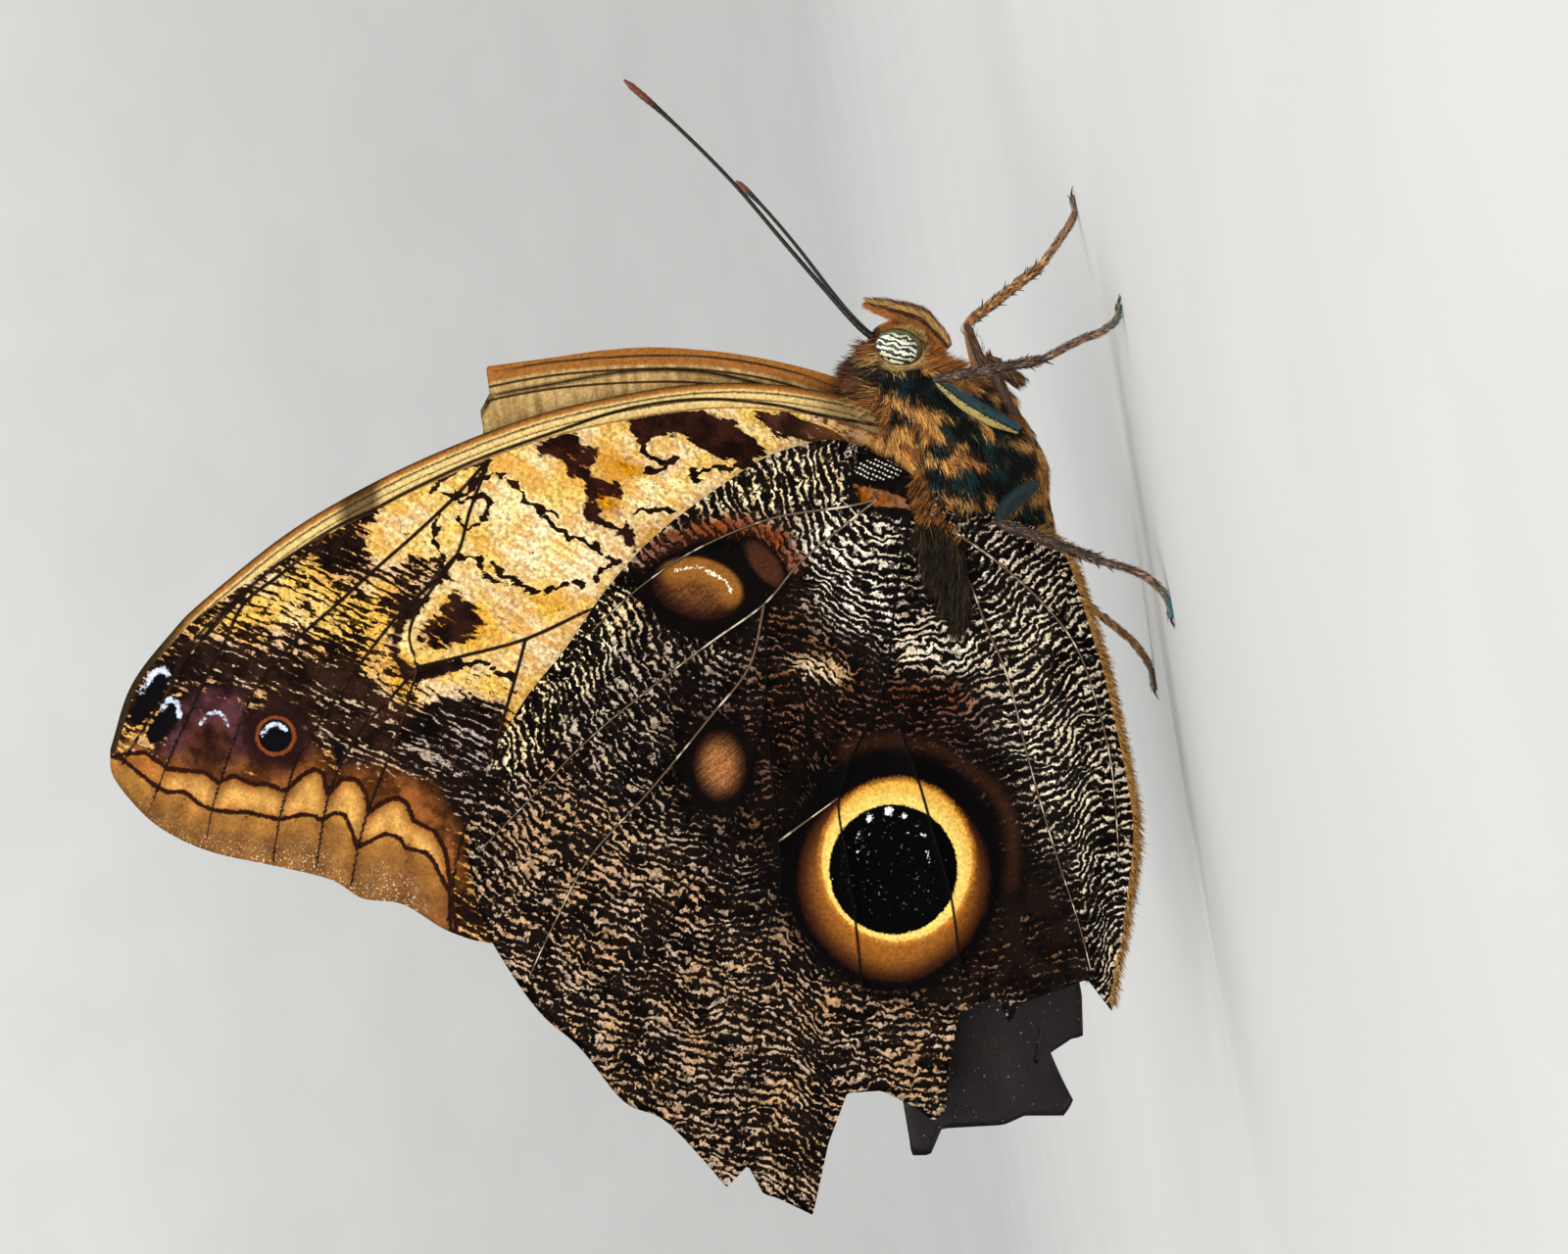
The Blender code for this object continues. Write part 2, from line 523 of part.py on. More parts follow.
def make_spine(name, root, tip, radius, look):
    """A slender four-sided spine whose root is sunk into its leg."""
    mesh = bpy.data.meshes.new(name)
    build = bmesh.new()
    length = (tip - root).length
    bmesh.ops.create_cone(build, cap_ends=True, segments=4, radius1=radius * MM, radius2=radius * 0.25 * MM,
                          depth=length)
    turn = (tip - root).to_track_quat("Z", "Y").to_matrix().to_4x4()
    bmesh.ops.transform(build, matrix=Matrix.Translation((root + tip) / 2) @ turn, verts=build.verts)
    build.to_mesh(mesh)
    build.free()
    mesh.materials.append(look)
    return bpy.data.objects.new(name, mesh)


def make_walking_leg(name, joints, tools, look):
    """Femur, tibia with spines and spurs, tarsus with claws, all in one closed solid."""
    hip, knee, ankle = (stance(*joints[key]) for key in ("hip", "knee", "ankle"))
    toes = [stance(*p) for p in joints["tarsus"]]
    up = Vector((0, 0, 1))
    bow = (knee - hip).cross(ankle - knee).normalized()
    arch = (knee - hip).cross(bow).normalized() * FEMUR_BOW * MM
    thigh = blend_points(hip, knee, (0, 0.25, 0.6, 0.93, 1.0))
    thigh = [point + arch * math.sin(math.pi * t) for point, t in zip(thigh, (0, 0.25, 0.6, 0.93, 1.0))]
    femur = make_tube(name, thigh, (*FEMUR_RADII, 0.3), look)
    tibia_line = blend_points(knee, ankle, (-0.03, 0.04, 0.35, 0.75, 1.0))
    pieces = [make_tube("tibia", tibia_line, (0.3, *TIBIA_RADII), look)]
    tarsus = smooth_path([ankle, *toes], 1.6 * MM)
    taper = np.linspace(1.0, 0.85, len(tarsus))
    pieces.append(make_tube("tarsus", [Vector(p) for p in tarsus], taper * TARSUS_RADIUS, look))
    across = (ankle - knee).normalized()
    for i in range(SPINES):
        t = 0.2 + 0.75 * i / SPINES
        side = 1 if i % 2 else -1
        root = knee.lerp(ankle, t)
        out = (bow.cross(across) * side + bow * 0.5 * (1 if i % 4 < 2 else -1)).normalized()
        tip = root + (out * 0.8 + across * 0.6).normalized() * (SPINE_LENGTH + TIBIA_RADII[1]) * MM
        pieces.append(make_spine("spine", root, tip, 0.14, look))
    for side in (-1, 1):
        tip = ankle + (across * 0.9 + bow * 0.55 * side).normalized() * SPUR_LENGTH * MM
        pieces.append(make_spine("spur", ankle, tip, 0.17, look))
    forward = (toes[-1] - toes[-2]).normalized()
    sideways = forward.cross(up).normalized()
    for side in (-1, 1):
        root = toes[-1] - forward * 0.2 * MM
        tip = root + (forward + sideways * 0.5 * side) * CLAW_LENGTH * MM
        tip.z = 0.1 * MM
        pieces.append(make_spine("claw", root, tip, 0.18, look))
    return cut(join(femur, pieces), *tools)


def make_foreleg(name, side, tools, look):
    """A short brush-like foreleg, folded against the front of the thorax."""
    points = [place(u, v, y * side) for u, v, y in (FORELEG["hip"], FORELEG["knee"], FORELEG["toe"])]
    upper = make_tube(name, blend_points(points[0], points[1], (0, 0.4, 0.9, 1.0)), (*FORELEG_RADII, 0.3), look)
    lower = make_tube("tarsus", blend_points(points[1], points[2], (0, 0.3, 0.8, 1.0)), (0.3, 0.42, 0.36, 0.12), look)
    return cut(join(upper, [lower]), *tools)


def make_coil(name, tool, look):
    """The coiled tongue: a tapering spiral in the animal's middle plane."""
    steps = 26
    points = []
    for i in range(steps):
        t = i / (steps - 1)
        angle = math.radians(250) - t * COIL_TURNS * 2 * math.pi
        radius = COIL_RADIUS - COIL_PITCH * COIL_TURNS * t
        points.append(place(COIL_CENTRE[0] + radius * math.cos(angle), COIL_CENTRE[1] + radius * math.sin(angle), 0.0))
    coil = make_tube(name, points, [COIL_THICKNESS * (1 - 0.25 * i / steps) for i in range(steps)], look)
    parts.objects.link(coil)
    return cut(coil, tool)


def make_antenna(name, points, tool, look):
    """A thin shaft that thickens into a slender club."""
    line = smooth_path([place(*p) for p in points], 1.9 * MM)
    at = np.linspace(0, 1, len(ANTENNA_RADII))
    radii = np.interp(np.linspace(0, 1, len(line)), [0, 0.06, 0.2, 0.6, 0.82, 0.9, 0.97, 1.0], ANTENNA_RADII)
    antenna = make_tube(name, [Vector(p) for p in line], radii, look)
    parts.objects.link(antenna)
    return cut(antenna, tool)


clear_scene()
parts = bpy.data.collections.new(COLLECTION)
cutters = bpy.data.collections.new("cutters")
bpy.context.scene.collection.children.link(parts)
bpy.context.scene.collection.children.link(cutters)

fur = material("thorax_fur", (0.35, 0.19, 0.08), 0.9)
scales = material("abdomen_scales", (0.22, 0.15, 0.09), 0.85)
horn = material("dark_horn", (0.035, 0.022, 0.018), 0.4)
leg_scales = material("leg_scales", (0.12, 0.07, 0.04), 0.7)
eye_gloss = material("eye_gloss", (0.3, 0.32, 0.14), 0.15)
fore_scales = material("forewing_scales", (0.62, 0.44, 0.18), 0.7)
hind_scales = material("hindwing_scales", (0.09, 0.055, 0.035), 0.7)

# Swelled copies that neighbours are cut back from
thorax_tool = add_cutter(make_body("thorax_swelled", THORAX_ROWS, 24, 22, fur, GAP))
head_tool = add_cutter(make_ellipsoid("head_swelled", HEAD_CENTRE, HEAD_RADII, HEAD_TILT, 24, 16, fur, GAP))
eye_tools = []
for side in (RIGHT, LEFT):
    centre = (EYE_CENTRE[0], EYE_CENTRE[1], EYE_CENTRE[2] * side)
    eye_tools.append(add_cutter(make_ellipsoid("eye_swelled", centre, EYE_RADII, HEAD_TILT, 20, 12, fur, GAP)))

# Body
thorax = make_body("thorax", THORAX_ROWS, 24, 22, fur)
parts.objects.link(thorax)
cut(thorax, *eye_tools)
abdomen = make_body("abdomen", ABDOMEN_ROWS, 20, 34, scales, 0.0, SEGMENT_GROOVE, ABDOMEN_SEGMENTS)
parts.objects.link(abdomen)
cut(abdomen, thorax_tool)

# Head
head = make_ellipsoid("head", HEAD_CENTRE, HEAD_RADII, HEAD_TILT, 24, 16, fur)
parts.objects.link(head)
cut(head, thorax_tool, *eye_tools)
for side, word in ((RIGHT, "right"), (LEFT, "left")):
    centre = (EYE_CENTRE[0], EYE_CENTRE[1], EYE_CENTRE[2] * side)
    parts.objects.link(make_ellipsoid("eye_" + word, centre, EYE_RADII, HEAD_TILT, 20, 12, eye_gloss))
    route = smooth_path([place(u, v, y * side) for u, v, y in PALP_PATH], 0.9 * MM)
    radii = np.interp(np.linspace(0, 1, len(route)), np.linspace(0, 1, len(PALP_RADII)), PALP_RADII)
    palp = make_tube("palp_" + word, [Vector(p) for p in route], radii, fur)
    parts.objects.link(palp)
    cut(palp, head_tool)
make_coil("proboscis", head_tool, horn)
make_antenna("antenna_right", RIGHT_ANTENNA, head_tool, horn)
make_antenna("antenna_left", LEFT_ANTENNA, head_tool, horn)

# Legs
make_foreleg("foreleg_right", RIGHT, (thorax_tool, head_tool), leg_scales)
make_foreleg("foreleg_left", LEFT, (thorax_tool, head_tool), leg_scales)
floor_tool = make_floor_tool()
for name, joints in (("midleg_right", MID_RIGHT), ("midleg_left", MID_LEFT), ("hindleg_right", HIND_RIGHT),
                     ("hindleg_left", HIND_LEFT)):
    make_walking_leg(name, joints, (thorax_tool, floor_tool), leg_scales)

# Wings
right_fore = make_wing("forewing_right", [("smooth", FORE_COSTA), ("smooth", FORE_TERMEN), ("smooth", FORE_INNER)],
                       FORE_VEINS, fore_depth, RIGHT, 24, fore_scales)
right_hind = make_wing("hindwing_right",
                       [("smooth", HIND_LEADING), ("torn", HIND_TORN), ("smooth", HIND_INNER)],
                       HIND_VEINS, hind_depth, RIGHT, 8, hind_scales)


def turned(points):
    """Forewing points swung forward about the wing's root, as the left forewing is held."""
    result = []
    for u, v in points:
        du, dv = u - FORE_ROOT[0], v - FORE_ROOT[1]
        c, s = math.cos(LEFT_FORE_TURN), math.sin(LEFT_FORE_TURN)
        result.append((FORE_ROOT[0] + du * c + dv * s, FORE_ROOT[1] - du * s + dv * c))
    return result


left_fore = make_wing("forewing_left",
                      [("smooth", LEFT_FORE_COSTA), ("torn", LEFT_FORE_BREAK), ("smooth", LEFT_FORE_INNER)],
                      [turned(vein) for vein in FORE_VEINS], fore_depth, LEFT, 12, fore_scales)
left_hind = make_wing("hindwing_left",
                      [("smooth", LEFT_HIND_LEADING), ("torn", LEFT_HIND_TORN), ("smooth", LEFT_HIND_INNER)],
                      HIND_VEINS, hind_depth, LEFT, 8, hind_scales)
for wing in (right_fore, right_hind, left_fore, left_hind):
    cut(wing, thorax_tool)
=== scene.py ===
"""Owl butterfly at life size: its visible surfaces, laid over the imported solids.

Lengths are in millimetres until they are put into a mesh, which is in metres. Wings, body and
head are drawn in the animal's side plane: u from the back towards the feet, v from the tail
towards the head, y from its right to its left.
"""
import math

import bpy
import numpy as np
from bpy.props import FloatProperty, FloatVectorProperty, IntProperty, PointerProperty
from mathutils import Matrix


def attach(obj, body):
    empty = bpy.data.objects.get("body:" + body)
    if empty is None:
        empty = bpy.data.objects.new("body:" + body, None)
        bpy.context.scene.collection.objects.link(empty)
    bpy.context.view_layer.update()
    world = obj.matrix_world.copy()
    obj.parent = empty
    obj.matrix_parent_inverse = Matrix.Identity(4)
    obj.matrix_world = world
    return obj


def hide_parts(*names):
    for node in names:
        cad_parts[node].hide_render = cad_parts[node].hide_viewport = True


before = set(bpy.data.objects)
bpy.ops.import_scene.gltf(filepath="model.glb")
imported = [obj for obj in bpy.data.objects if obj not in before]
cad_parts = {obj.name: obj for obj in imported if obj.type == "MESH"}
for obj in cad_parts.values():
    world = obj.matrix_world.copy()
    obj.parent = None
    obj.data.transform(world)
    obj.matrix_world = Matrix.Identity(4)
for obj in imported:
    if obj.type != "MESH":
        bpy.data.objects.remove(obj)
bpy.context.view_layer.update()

bl_info = {
    "name": "Owl Butterfly",
    "version": (1, 0, 0),
    "blender": (4, 5, 0),
    "location": "View3D > Sidebar > Butterfly",
    "description": "Builds a life-size owl butterfly over its packed solids",
    "category": "Add Mesh",
}

MM = 0.001
ROLL = math.radians(9.5)
PLANE = np.array((12.8, -4.4, 21.2))
LEG_SHIFT = np.array((6.3, -4.4, 0.0))
RIGHT = -1
LEFT = 1


def path(*tenths):
    """Plane points in millimetres, from u and v of each in tenths of a millimetre."""
    return np.array(tenths).reshape(-1, 2) / 10


# ---- wing outlines and veins, as in the solids ----
FORE_ROOT = np.array((0.3, 4.2))
HIND_ROOT = np.array((1.25, -1.7))
FORE_COSTA = path(5, 48, -35, 63, -96, 73, -158, 73, -220, 64, -292, 47, -363, 21, -434, -12, -505, -54, -576,
    -111, -602, -137, -637, -183, -655, -238)
FORE_TERMEN = path(-655, -238, -652, -261, -626, -293, -599, -312, -564, -326, -517, -336, -468, -348, -441,
    -364, -407, -369, -370, -391, -334, -402, -296, -401)
FORE_INNER = path(-296, -401, -217, -300, -117, -150, -42, -17, -13, 18, 4, 30)
HIND_LEADING = path(29, -9, 4, 7, -35, 24, -66, 21, -97, 11, -127, -7, -189, -53, -232, -99, -268, -151, -306,
    -200, -342, -270, -350, -327, -337, -385, -314, -427, -288, -462, -256, -490, -219, -535, -186, -550,
    -153, -583, -132, -608)
HIND_TORN = path(-122, -589, -114, -589, -101, -613, -88, -617, -59, -631, -46, -571, -30, -528, -1, -526, 28,
    -540, 43, -552, 53, -543, 58, -497, 64, -462, 95, -446, 108, -470, 115, -453, 173, -432, 194, -459)
HIND_INNER = path(194, -459, 199, -427, 207, -388, 216, -315, 210, -262, 193, -181, 184, -148, 161, -77, 146,
    -58, 123, -47, 98, -43)
LEFT_FORE_TURN = math.radians(8.7)
LEFT_FORE_COSTA = path(0, 55, -31, 77, -109, 97, -184, 105, -234, 103, -285, 96, -338, 89)
LEFT_FORE_BREAK = path(-333, 83, -335, 66, -343, 51, -340, 33, -360, -16, -352, -67, -375, -134, -367, -201,
    -394, -268, -385, -335)
LEFT_FORE_INNER = path(-385, -335, -285, -243, -151, -117, -42, -6, -12, 24, 5, 32)
LEFT_HIND_LEADING = path(29, -10, 4, 4, -34, 20, -65, 17, -94, 7, -124, -11, -185, -56, -228, -102, -264,
    -154, -302, -203, -337, -271, -345, -327, -332, -383, -309, -424, -283, -458, -252, -486, -216, -526,
    -178, -544)
LEFT_HIND_TORN = path(-130, -545, -90, -590, -70, -598, -52, -554, -36, -516, 15, -520, 24, -573, 26, -587,
    42, -587, 52, -564, 105, -561, 123, -553, 157, -553, 165, -540, 150, -513, 130, -509, 163, -487, 173,
    -485, 172, -449, 169, -434)
LEFT_HIND_INNER = path(169, -434, 188, -426, 202, -386, 210, -315, 205, -262, 189, -181, 180, -148, 158, -80,
    144, -60, 123, -49, 98, -45)
FORE_VEINS = [
    path(-3, 36, -51, 46, -97, 56, -158, 60, -220, 51, -281, 31, -343, 9, -404, -19, -432, -34, -466, -50,
        -508, -77, -541, -103, -571, -131, -591, -155, -603, -176),
    path(-335, 8, -364, -24, -399, -57, -432, -86, -466, -117, -498, -145, -522, -172, -538, -197, -549, -228,
        -557, -252, -567, -283, -574, -317),
    path(-361, -72, -385, -98, -407, -120, -423, -138, -446, -169, -469, -202, -486, -228, -496, -245, -505,
        -273, -512, -301, -517, -335),
    path(-15, 19, -100, -34, -211, -102, -251, -120, -303, -144, -355, -158, -395, -168),
    path(-395, -168, -420, -197, -440, -218, -457, -245, -468, -271, -474, -297, -480, -336),
    path(-395, -168, -403, -198, -414, -231, -426, -262, -437, -292, -445, -322, -451, -356),
    path(-303, -144, -312, -178, -336, -257, -358, -317, -369, -383),
    path(-211, -102, -250, -200, -283, -292, -314, -392),
    path(-334, 8, -350, -34, -361, -72, -385, -105, -401, -136, -395, -168),
    path(-470, -55, -508, -87, -541, -113, -557, -145, -574, -176, -584, -200, -597, -228, -609, -256, -623,
        -294),
    path(-536, -100, -571, -138, -591, -160, -607, -190, -629, -224, -645, -251),
]
HIND_VEINS = [
    path(-5, -26, -31, -32, -95, -42, -158, -68, -207, -101, -245, -136),
    path(-5, -26, -30, -46, -69, -78, -100, -114, -146, -147, -196, -185, -248, -228, -298, -279, -342, -324),
    path(-100, -114, -113, -167, -146, -210, -196, -271, -248, -329, -279, -387, -302, -436),
    path(-100, -114, -99, -200, -113, -255, -136, -312, -172, -364, -195, -415, -218, -487, -224, -520),
    path(-99, -200, -93, -266, -88, -315, -87, -352, -98, -399, -109, -480, -120, -580),
    path(-88, -315, -37, -278),
    path(24, -34, 14, -88, 8, -134, 2, -183, -18, -228, -37, -278, -30, -332, -21, -400, -16, -459, -12,
        -518),
    path(2, -183, 16, -222, 31, -266, 45, -316, 59, -369, 69, -448),
    path(41, -38, 71, -91, 88, -134, 106, -178, 123, -245, 143, -315, 165, -382, 176, -424),
    path(61, -54, 99, -81, 136, -115, 162, -149, 178, -191, 192, -249, 199, -328),
]
HIND_PALE_VEINS = (0, 1, 2, 5, 8, 9)
FORE_CROSS = 8
HIND_CROSS = 5
ABDOMEN_AXIS = path(102, -56, 107, -67, 123, -92, 139, -134, 154, -184, 165, -225, 173, -259, 179, -284, 180,
    -296)


def colour(red, green, blue):
    """A screen colour, 0 to 255 a channel, as linear light."""
    value = np.array((red, green, blue)) / 255.0
    return np.where(value <= 0.04045, value / 12.92, ((value + 0.055) / 1.055) ** 2.4)


def place(u, v, y):
    """Plane points in metres: the plane turned by the roll and moved to the animal's place."""
    x = PLANE[0] - math.sin(ROLL) * u + math.cos(ROLL) * v
    z = PLANE[2] - math.cos(ROLL) * u - math.sin(ROLL) * v
    return np.stack([x, y + PLANE[1], z], axis=-1) * MM


def unit(vectors):
    return vectors / np.maximum(np.linalg.norm(vectors, axis=-1, keepdims=True), 1e-12)


def smoothstep(low, high, value):
    """Zero below low, one above high, and 3t2 - 2t3 between."""
    t = np.clip((value - low) / (high - low), 0.0, 1.0)
    return t * t * (3.0 - 2.0 * t)


def spline(points, count):
    """A Catmull-Rom curve through the points, at evenly spaced lengths."""
    pts = np.array(points, dtype=float)
    ends = np.vstack([2 * pts[0] - pts[1], pts, 2 * pts[-1] - pts[-2]])
    p0, p1, p2, p3 = (ends[i:len(ends) - 3 + i, None] for i in range(4))
    t = np.linspace(0, 1, 16, endpoint=False)[None, :, None]
    curve = 0.5 * (2 * p1 + (p2 - p0) * t + (2 * p0 - 5 * p1 + 4 * p2 - p3) * t ** 2
                   + (3 * p1 - p0 - 3 * p2 + p3) * t ** 3)
    return resample(np.vstack([curve.reshape(-1, pts.shape[1]), pts[-1:]]), count)


def resample(line, count):
    """Points at evenly spaced lengths along a broken line."""
    line = np.array(line, dtype=float)
    length = np.concatenate([[0], np.cumsum(np.linalg.norm(np.diff(line, axis=0), axis=1))])
    at = np.linspace(0, length[-1], count)
    return np.stack([np.interp(at, length, line[:, k]) for k in range(line.shape[1])], axis=1)


def nearest(points, line):
    """Distance of each point from a broken line, and the length along the line of the nearest place."""
    line = np.array(line, dtype=float)
    step = np.linalg.norm(np.diff(line, axis=0), axis=1)
    start = np.concatenate([[0], np.cumsum(step)])
    best = np.full(len(points), 1e9)
    along = np.zeros(len(points))
    for i in range(len(step)):
        a, d = line[i], line[i + 1] - line[i]
        t = np.clip(((points - a) @ d) / max(step[i] ** 2, 1e-12), 0, 1)
        gap = np.linalg.norm(points - a - t[:, None] * d, axis=1)
        closer = gap < best
        best = np.where(closer, gap, best)
        along = np.where(closer, start[i] + t * step[i], along)
    return best, along


def within(points, outline):
    """Whether points lie in a closed outline: an odd number of its sides crosses a ray to the left."""
    x, y = points[:, 0], points[:, 1]
    odd = np.zeros(len(points), bool)
    for (x0, y0), (x1, y1) in zip(outline, np.roll(outline, -1, axis=0)):
        if y0 != y1:
            odd ^= ((y0 > y) != (y1 > y)) & (x < x0 + (y - y0) * (x1 - x0) / (y1 - y0))
    return odd


def patch_distance(points, outline):
    """Distance from a closed outline, negative inside it."""
    outline = np.array(outline, dtype=float)
    gap, _ = nearest(points, np.vstack([outline, outline[:1]]))
    return np.where(within(points, outline), -gap, gap)


def oval_distance(points, centre, radii, tilt=0.0, point=0.0):
    """About the distance from an oval, negative inside; point draws its lower end out."""
    c, s = math.cos(math.radians(tilt)), math.sin(math.radians(tilt))
    du, dv = points[:, 0] - centre[0], points[:, 1] - centre[1]
    a, b = (du * c + dv * s) / radii[0], (-du * s + dv * c) / radii[1]
    r = np.hypot(a, b)
    lower = np.clip(-b / np.maximum(r, 1e-6), 0, 1) ** 10
    return (r - 1.0 - point * lower) * (radii[0] + radii[1]) / 2


def waves(points, size, seed):
    """Soft random hills of about the given size, between -1 and 1: a mean of sine waves in random directions."""
    rng = np.random.default_rng(seed)
    total = np.zeros(len(points))
    for _ in range(9):
        heading = rng.normal(size=points.shape[1])
        heading *= 2 * math.pi / size / np.linalg.norm(heading) * rng.uniform(0.6, 1.5)
        total += np.sin(points @ heading + rng.uniform(0, 6.3))
    return total / 4.5


def new_mesh(name, points, faces, materials, face_material=None, smooth=True):
    """A mesh from whole arrays of points in metres and of faces with equal corners, or lists of both."""
    mesh = bpy.data.meshes.new(name)
    blocks = faces if isinstance(faces, list) else [faces]
    blocks = [np.asarray(block) for block in blocks if len(block)]
    corners = np.concatenate([block.ravel() for block in blocks])
    sizes = np.concatenate([np.full(len(block), block.shape[1]) for block in blocks])
    mesh.vertices.add(len(points))
    mesh.vertices.foreach_set("co", np.asarray(points, np.float32).ravel())
    mesh.loops.add(len(corners))
    mesh.loops.foreach_set("vertex_index", corners.astype(np.int32))
    mesh.polygons.add(len(sizes))
    mesh.polygons.foreach_set("loop_start", np.concatenate([[0], np.cumsum(sizes)[:-1]]).astype(np.int32))
    mesh.polygons.foreach_set("loop_total", sizes.astype(np.int32))
    for look in materials:
        mesh.materials.append(look)
    if face_material is not None:
        mesh.polygons.foreach_set("material_index", np.asarray(face_material, np.int32))
    mesh.update(calc_edges=True)
    mesh.validate()
    if smooth:
        mesh.shade_smooth()
    item = bpy.data.objects.new(name, mesh)
    bpy.context.scene.collection.objects.link(item)
    return item


def store(item, name, values, index=None):
    """Keep a number, a vector or a colour for each point of a mesh, picked by the index if one is given."""
    values = np.asarray(values, np.float32)
    values = values if index is None else values[index]
    if values.ndim == 1:
        item.data.attributes.new(name, "FLOAT", "POINT").data.foreach_set("value", values)
    elif name.endswith("colour"):
        full = np.concatenate([values, np.ones((len(values), 1), np.float32)], axis=1)
        item.data.attributes.new(name, "FLOAT_COLOR", "POINT").data.foreach_set("color", full.ravel())
    else:
        item.data.attributes.new(name, "FLOAT_VECTOR", "POINT").data.foreach_set("vector", values.ravel())


def store_all(item, index, **fields):
    """Keep several fields; three arrays together are kept as one vector."""
    for name, values in fields.items():
        store(item, name, np.stack(values, axis=1) if isinstance(values, tuple) else values, index)


def store_map(item, point_map):
    """A UV map named OFBake from one pair for each point."""
    layer = item.data.uv_layers.new(name="OFBake")
    index = np.empty(len(item.data.loops), np.int32)
    item.data.loops.foreach_get("vertex_index", index)
    layer.data.foreach_set("uv", np.asarray(point_map, np.float32)[index].ravel())


def grid_faces(rows, columns, start=0, closed=True):
    """Four-cornered faces between the rows of a grid, whose columns close on themselves if asked."""
    span = columns if closed else columns - 1
    i, j = np.meshgrid(np.arange(rows - 1), np.arange(span), indexing="ij")
    k = (j + 1) % columns
    faces = np.stack([i * columns + j, i * columns + k, (i + 1) * columns + k, (i + 1) * columns + j], axis=-1)
    return faces.reshape(-1, 4) + start


def outward_faces(points, faces):
    """Faces turned round if the closed shape they make has a negative volume."""
    volume = 0.0
    for block in faces:
        a, b = points[block[:, 0]], points[block[:, 1]]
        for k in range(2, block.shape[1]):
            c = points[block[:, k]]
            volume += np.einsum("ij,ij->i", a, np.cross(b, c)).sum()
            b = c
    return faces if volume > 0 else [block[:, ::-1] for block in faces]


def closed_faces(points, rows, columns):
    """Faces of rings closed by a fan about a pole at either end, the poles being the last two points."""
    total = rows * columns
    k = np.arange(columns)
    last = total - columns
    fans = [(np.full(columns, total), (k + 1) % columns, k),
            (np.full(columns, total + 1), last + k, last + (k + 1) % columns)]
    return outward_faces(points, [grid_faces(rows, columns), np.vstack([np.stack(fan, axis=1) for fan in fans])])


def tube(path, radii, sides, flat=1.0, flat_axis=None):
    """Points and faces of a rod: a ring of the given radii about each place of a path, both ends closed.

    The ring's plane is square to the path, carried along it without twist; flat narrows it
    along the second direction. All is in the path's units.
    """
    path = np.asarray(path, float)
    heading = unit(np.gradient(path, axis=0))
    first = np.array(flat_axis if flat_axis is not None else (0.31, 0.87, 0.38), float)
    side = np.empty_like(path)
    for i, h in enumerate(heading):
        first = first - (first @ h) * h
        first /= np.linalg.norm(first)
        side[i] = first
    up = np.cross(heading, side)
    angle = np.linspace(0, 2 * math.pi, sides, endpoint=False)
    radii = np.broadcast_to(np.asarray(radii, float), (len(path),))
    ring = (side[:, None] * np.cos(angle)[None, :, None] * flat + up[:, None] * np.sin(angle)[None, :, None])
    points = path[:, None] + ring * radii[:, None, None]
    points = np.vstack([points.reshape(-1, 3), path[:1], path[-1:]])
    return points, closed_faces(points, len(path), sides)


def merged(shapes):
    """Points and faces of several shapes as one, and the number of each point's shape."""
    points, quads, tris, owner = [], [], [], []
    start = 0
    for number, (pts, faces) in enumerate(shapes):
        for block in faces:
            (quads if block.shape[1] == 4 else tris).append(block + start)
        points.append(pts)
        owner.append(np.full(len(pts), number))
        start += len(pts)
    blocks = [np.vstack(blocks) for blocks in (quads, tris) if blocks]
    return np.vstack(points), blocks, np.concatenate(owner)


# ---- wings ----
def spread(u, v):
    """The wings open slightly from the body outwards, in proportion to the distance beyond 15 mm."""
    return 0.018 * np.maximum(0.0, np.hypot(u, v) - 15.0)


def fore_depth(p):
    """Middle surface of a forewing: a constant, a bell at its root and the spread."""
    r = np.linalg.norm(p - FORE_ROOT, axis=1)
    return 0.65 + 2.75 * np.exp(-(r / 4.5) ** 2) + spread(p[:, 0], p[:, 1])


def hind_depth(p):
    """Middle surface of a hindwing: as a forewing's, with a bell-shaped swell along the abdomen."""
    r = np.linalg.norm(p - HIND_ROOT, axis=1)
    d, _ = nearest(p, ABDOMEN_AXIS)
    return 1.9 + 2.5 * np.exp(-(r / 7.0) ** 2) + 2.0 * np.exp(-(d / 4.5) ** 2) + spread(p[:, 0], p[:, 1])


def wing_rim(stretches, count):
    """One closed outline of evenly spaced points from smooth and from torn stretches."""
    line = []
    for kind, stretch in stretches:
        run = spline(stretch, 12 * len(stretch)) if kind == "smooth" else np.array(stretch, float)
        line.append(run if not line else run[1:])
    line = np.vstack(line)
    if np.linalg.norm(line[0] - line[-1]) > 0.05:
        line = np.vstack([line, line[:1]])
    return resample(line, count + 1)[:-1]


def wing_sheet(rim, centre, rings, bands):
    """Rings of points from a centre out to a softened rim, then straight from that to the true rim."""
    soft = rim.copy()
    for _ in range(60):
        soft = (np.roll(soft, 1, axis=0) + 2 * soft + np.roll(soft, -1, axis=0)) / 4
    inner = centre + (soft - centre) * 0.9
    t = (np.linspace(0, 1, rings + 1)[1:] ** 0.85)[:, None, None]
    core = centre + (inner - centre)[None] * t
    b = np.linspace(0, 1, bands + 1)[1:][:, None, None]
    band = inner[None] + (rim - inner)[None] * b
    return np.vstack([np.array(centre)[None], core.reshape(-1, 2), band.reshape(-1, 2)])


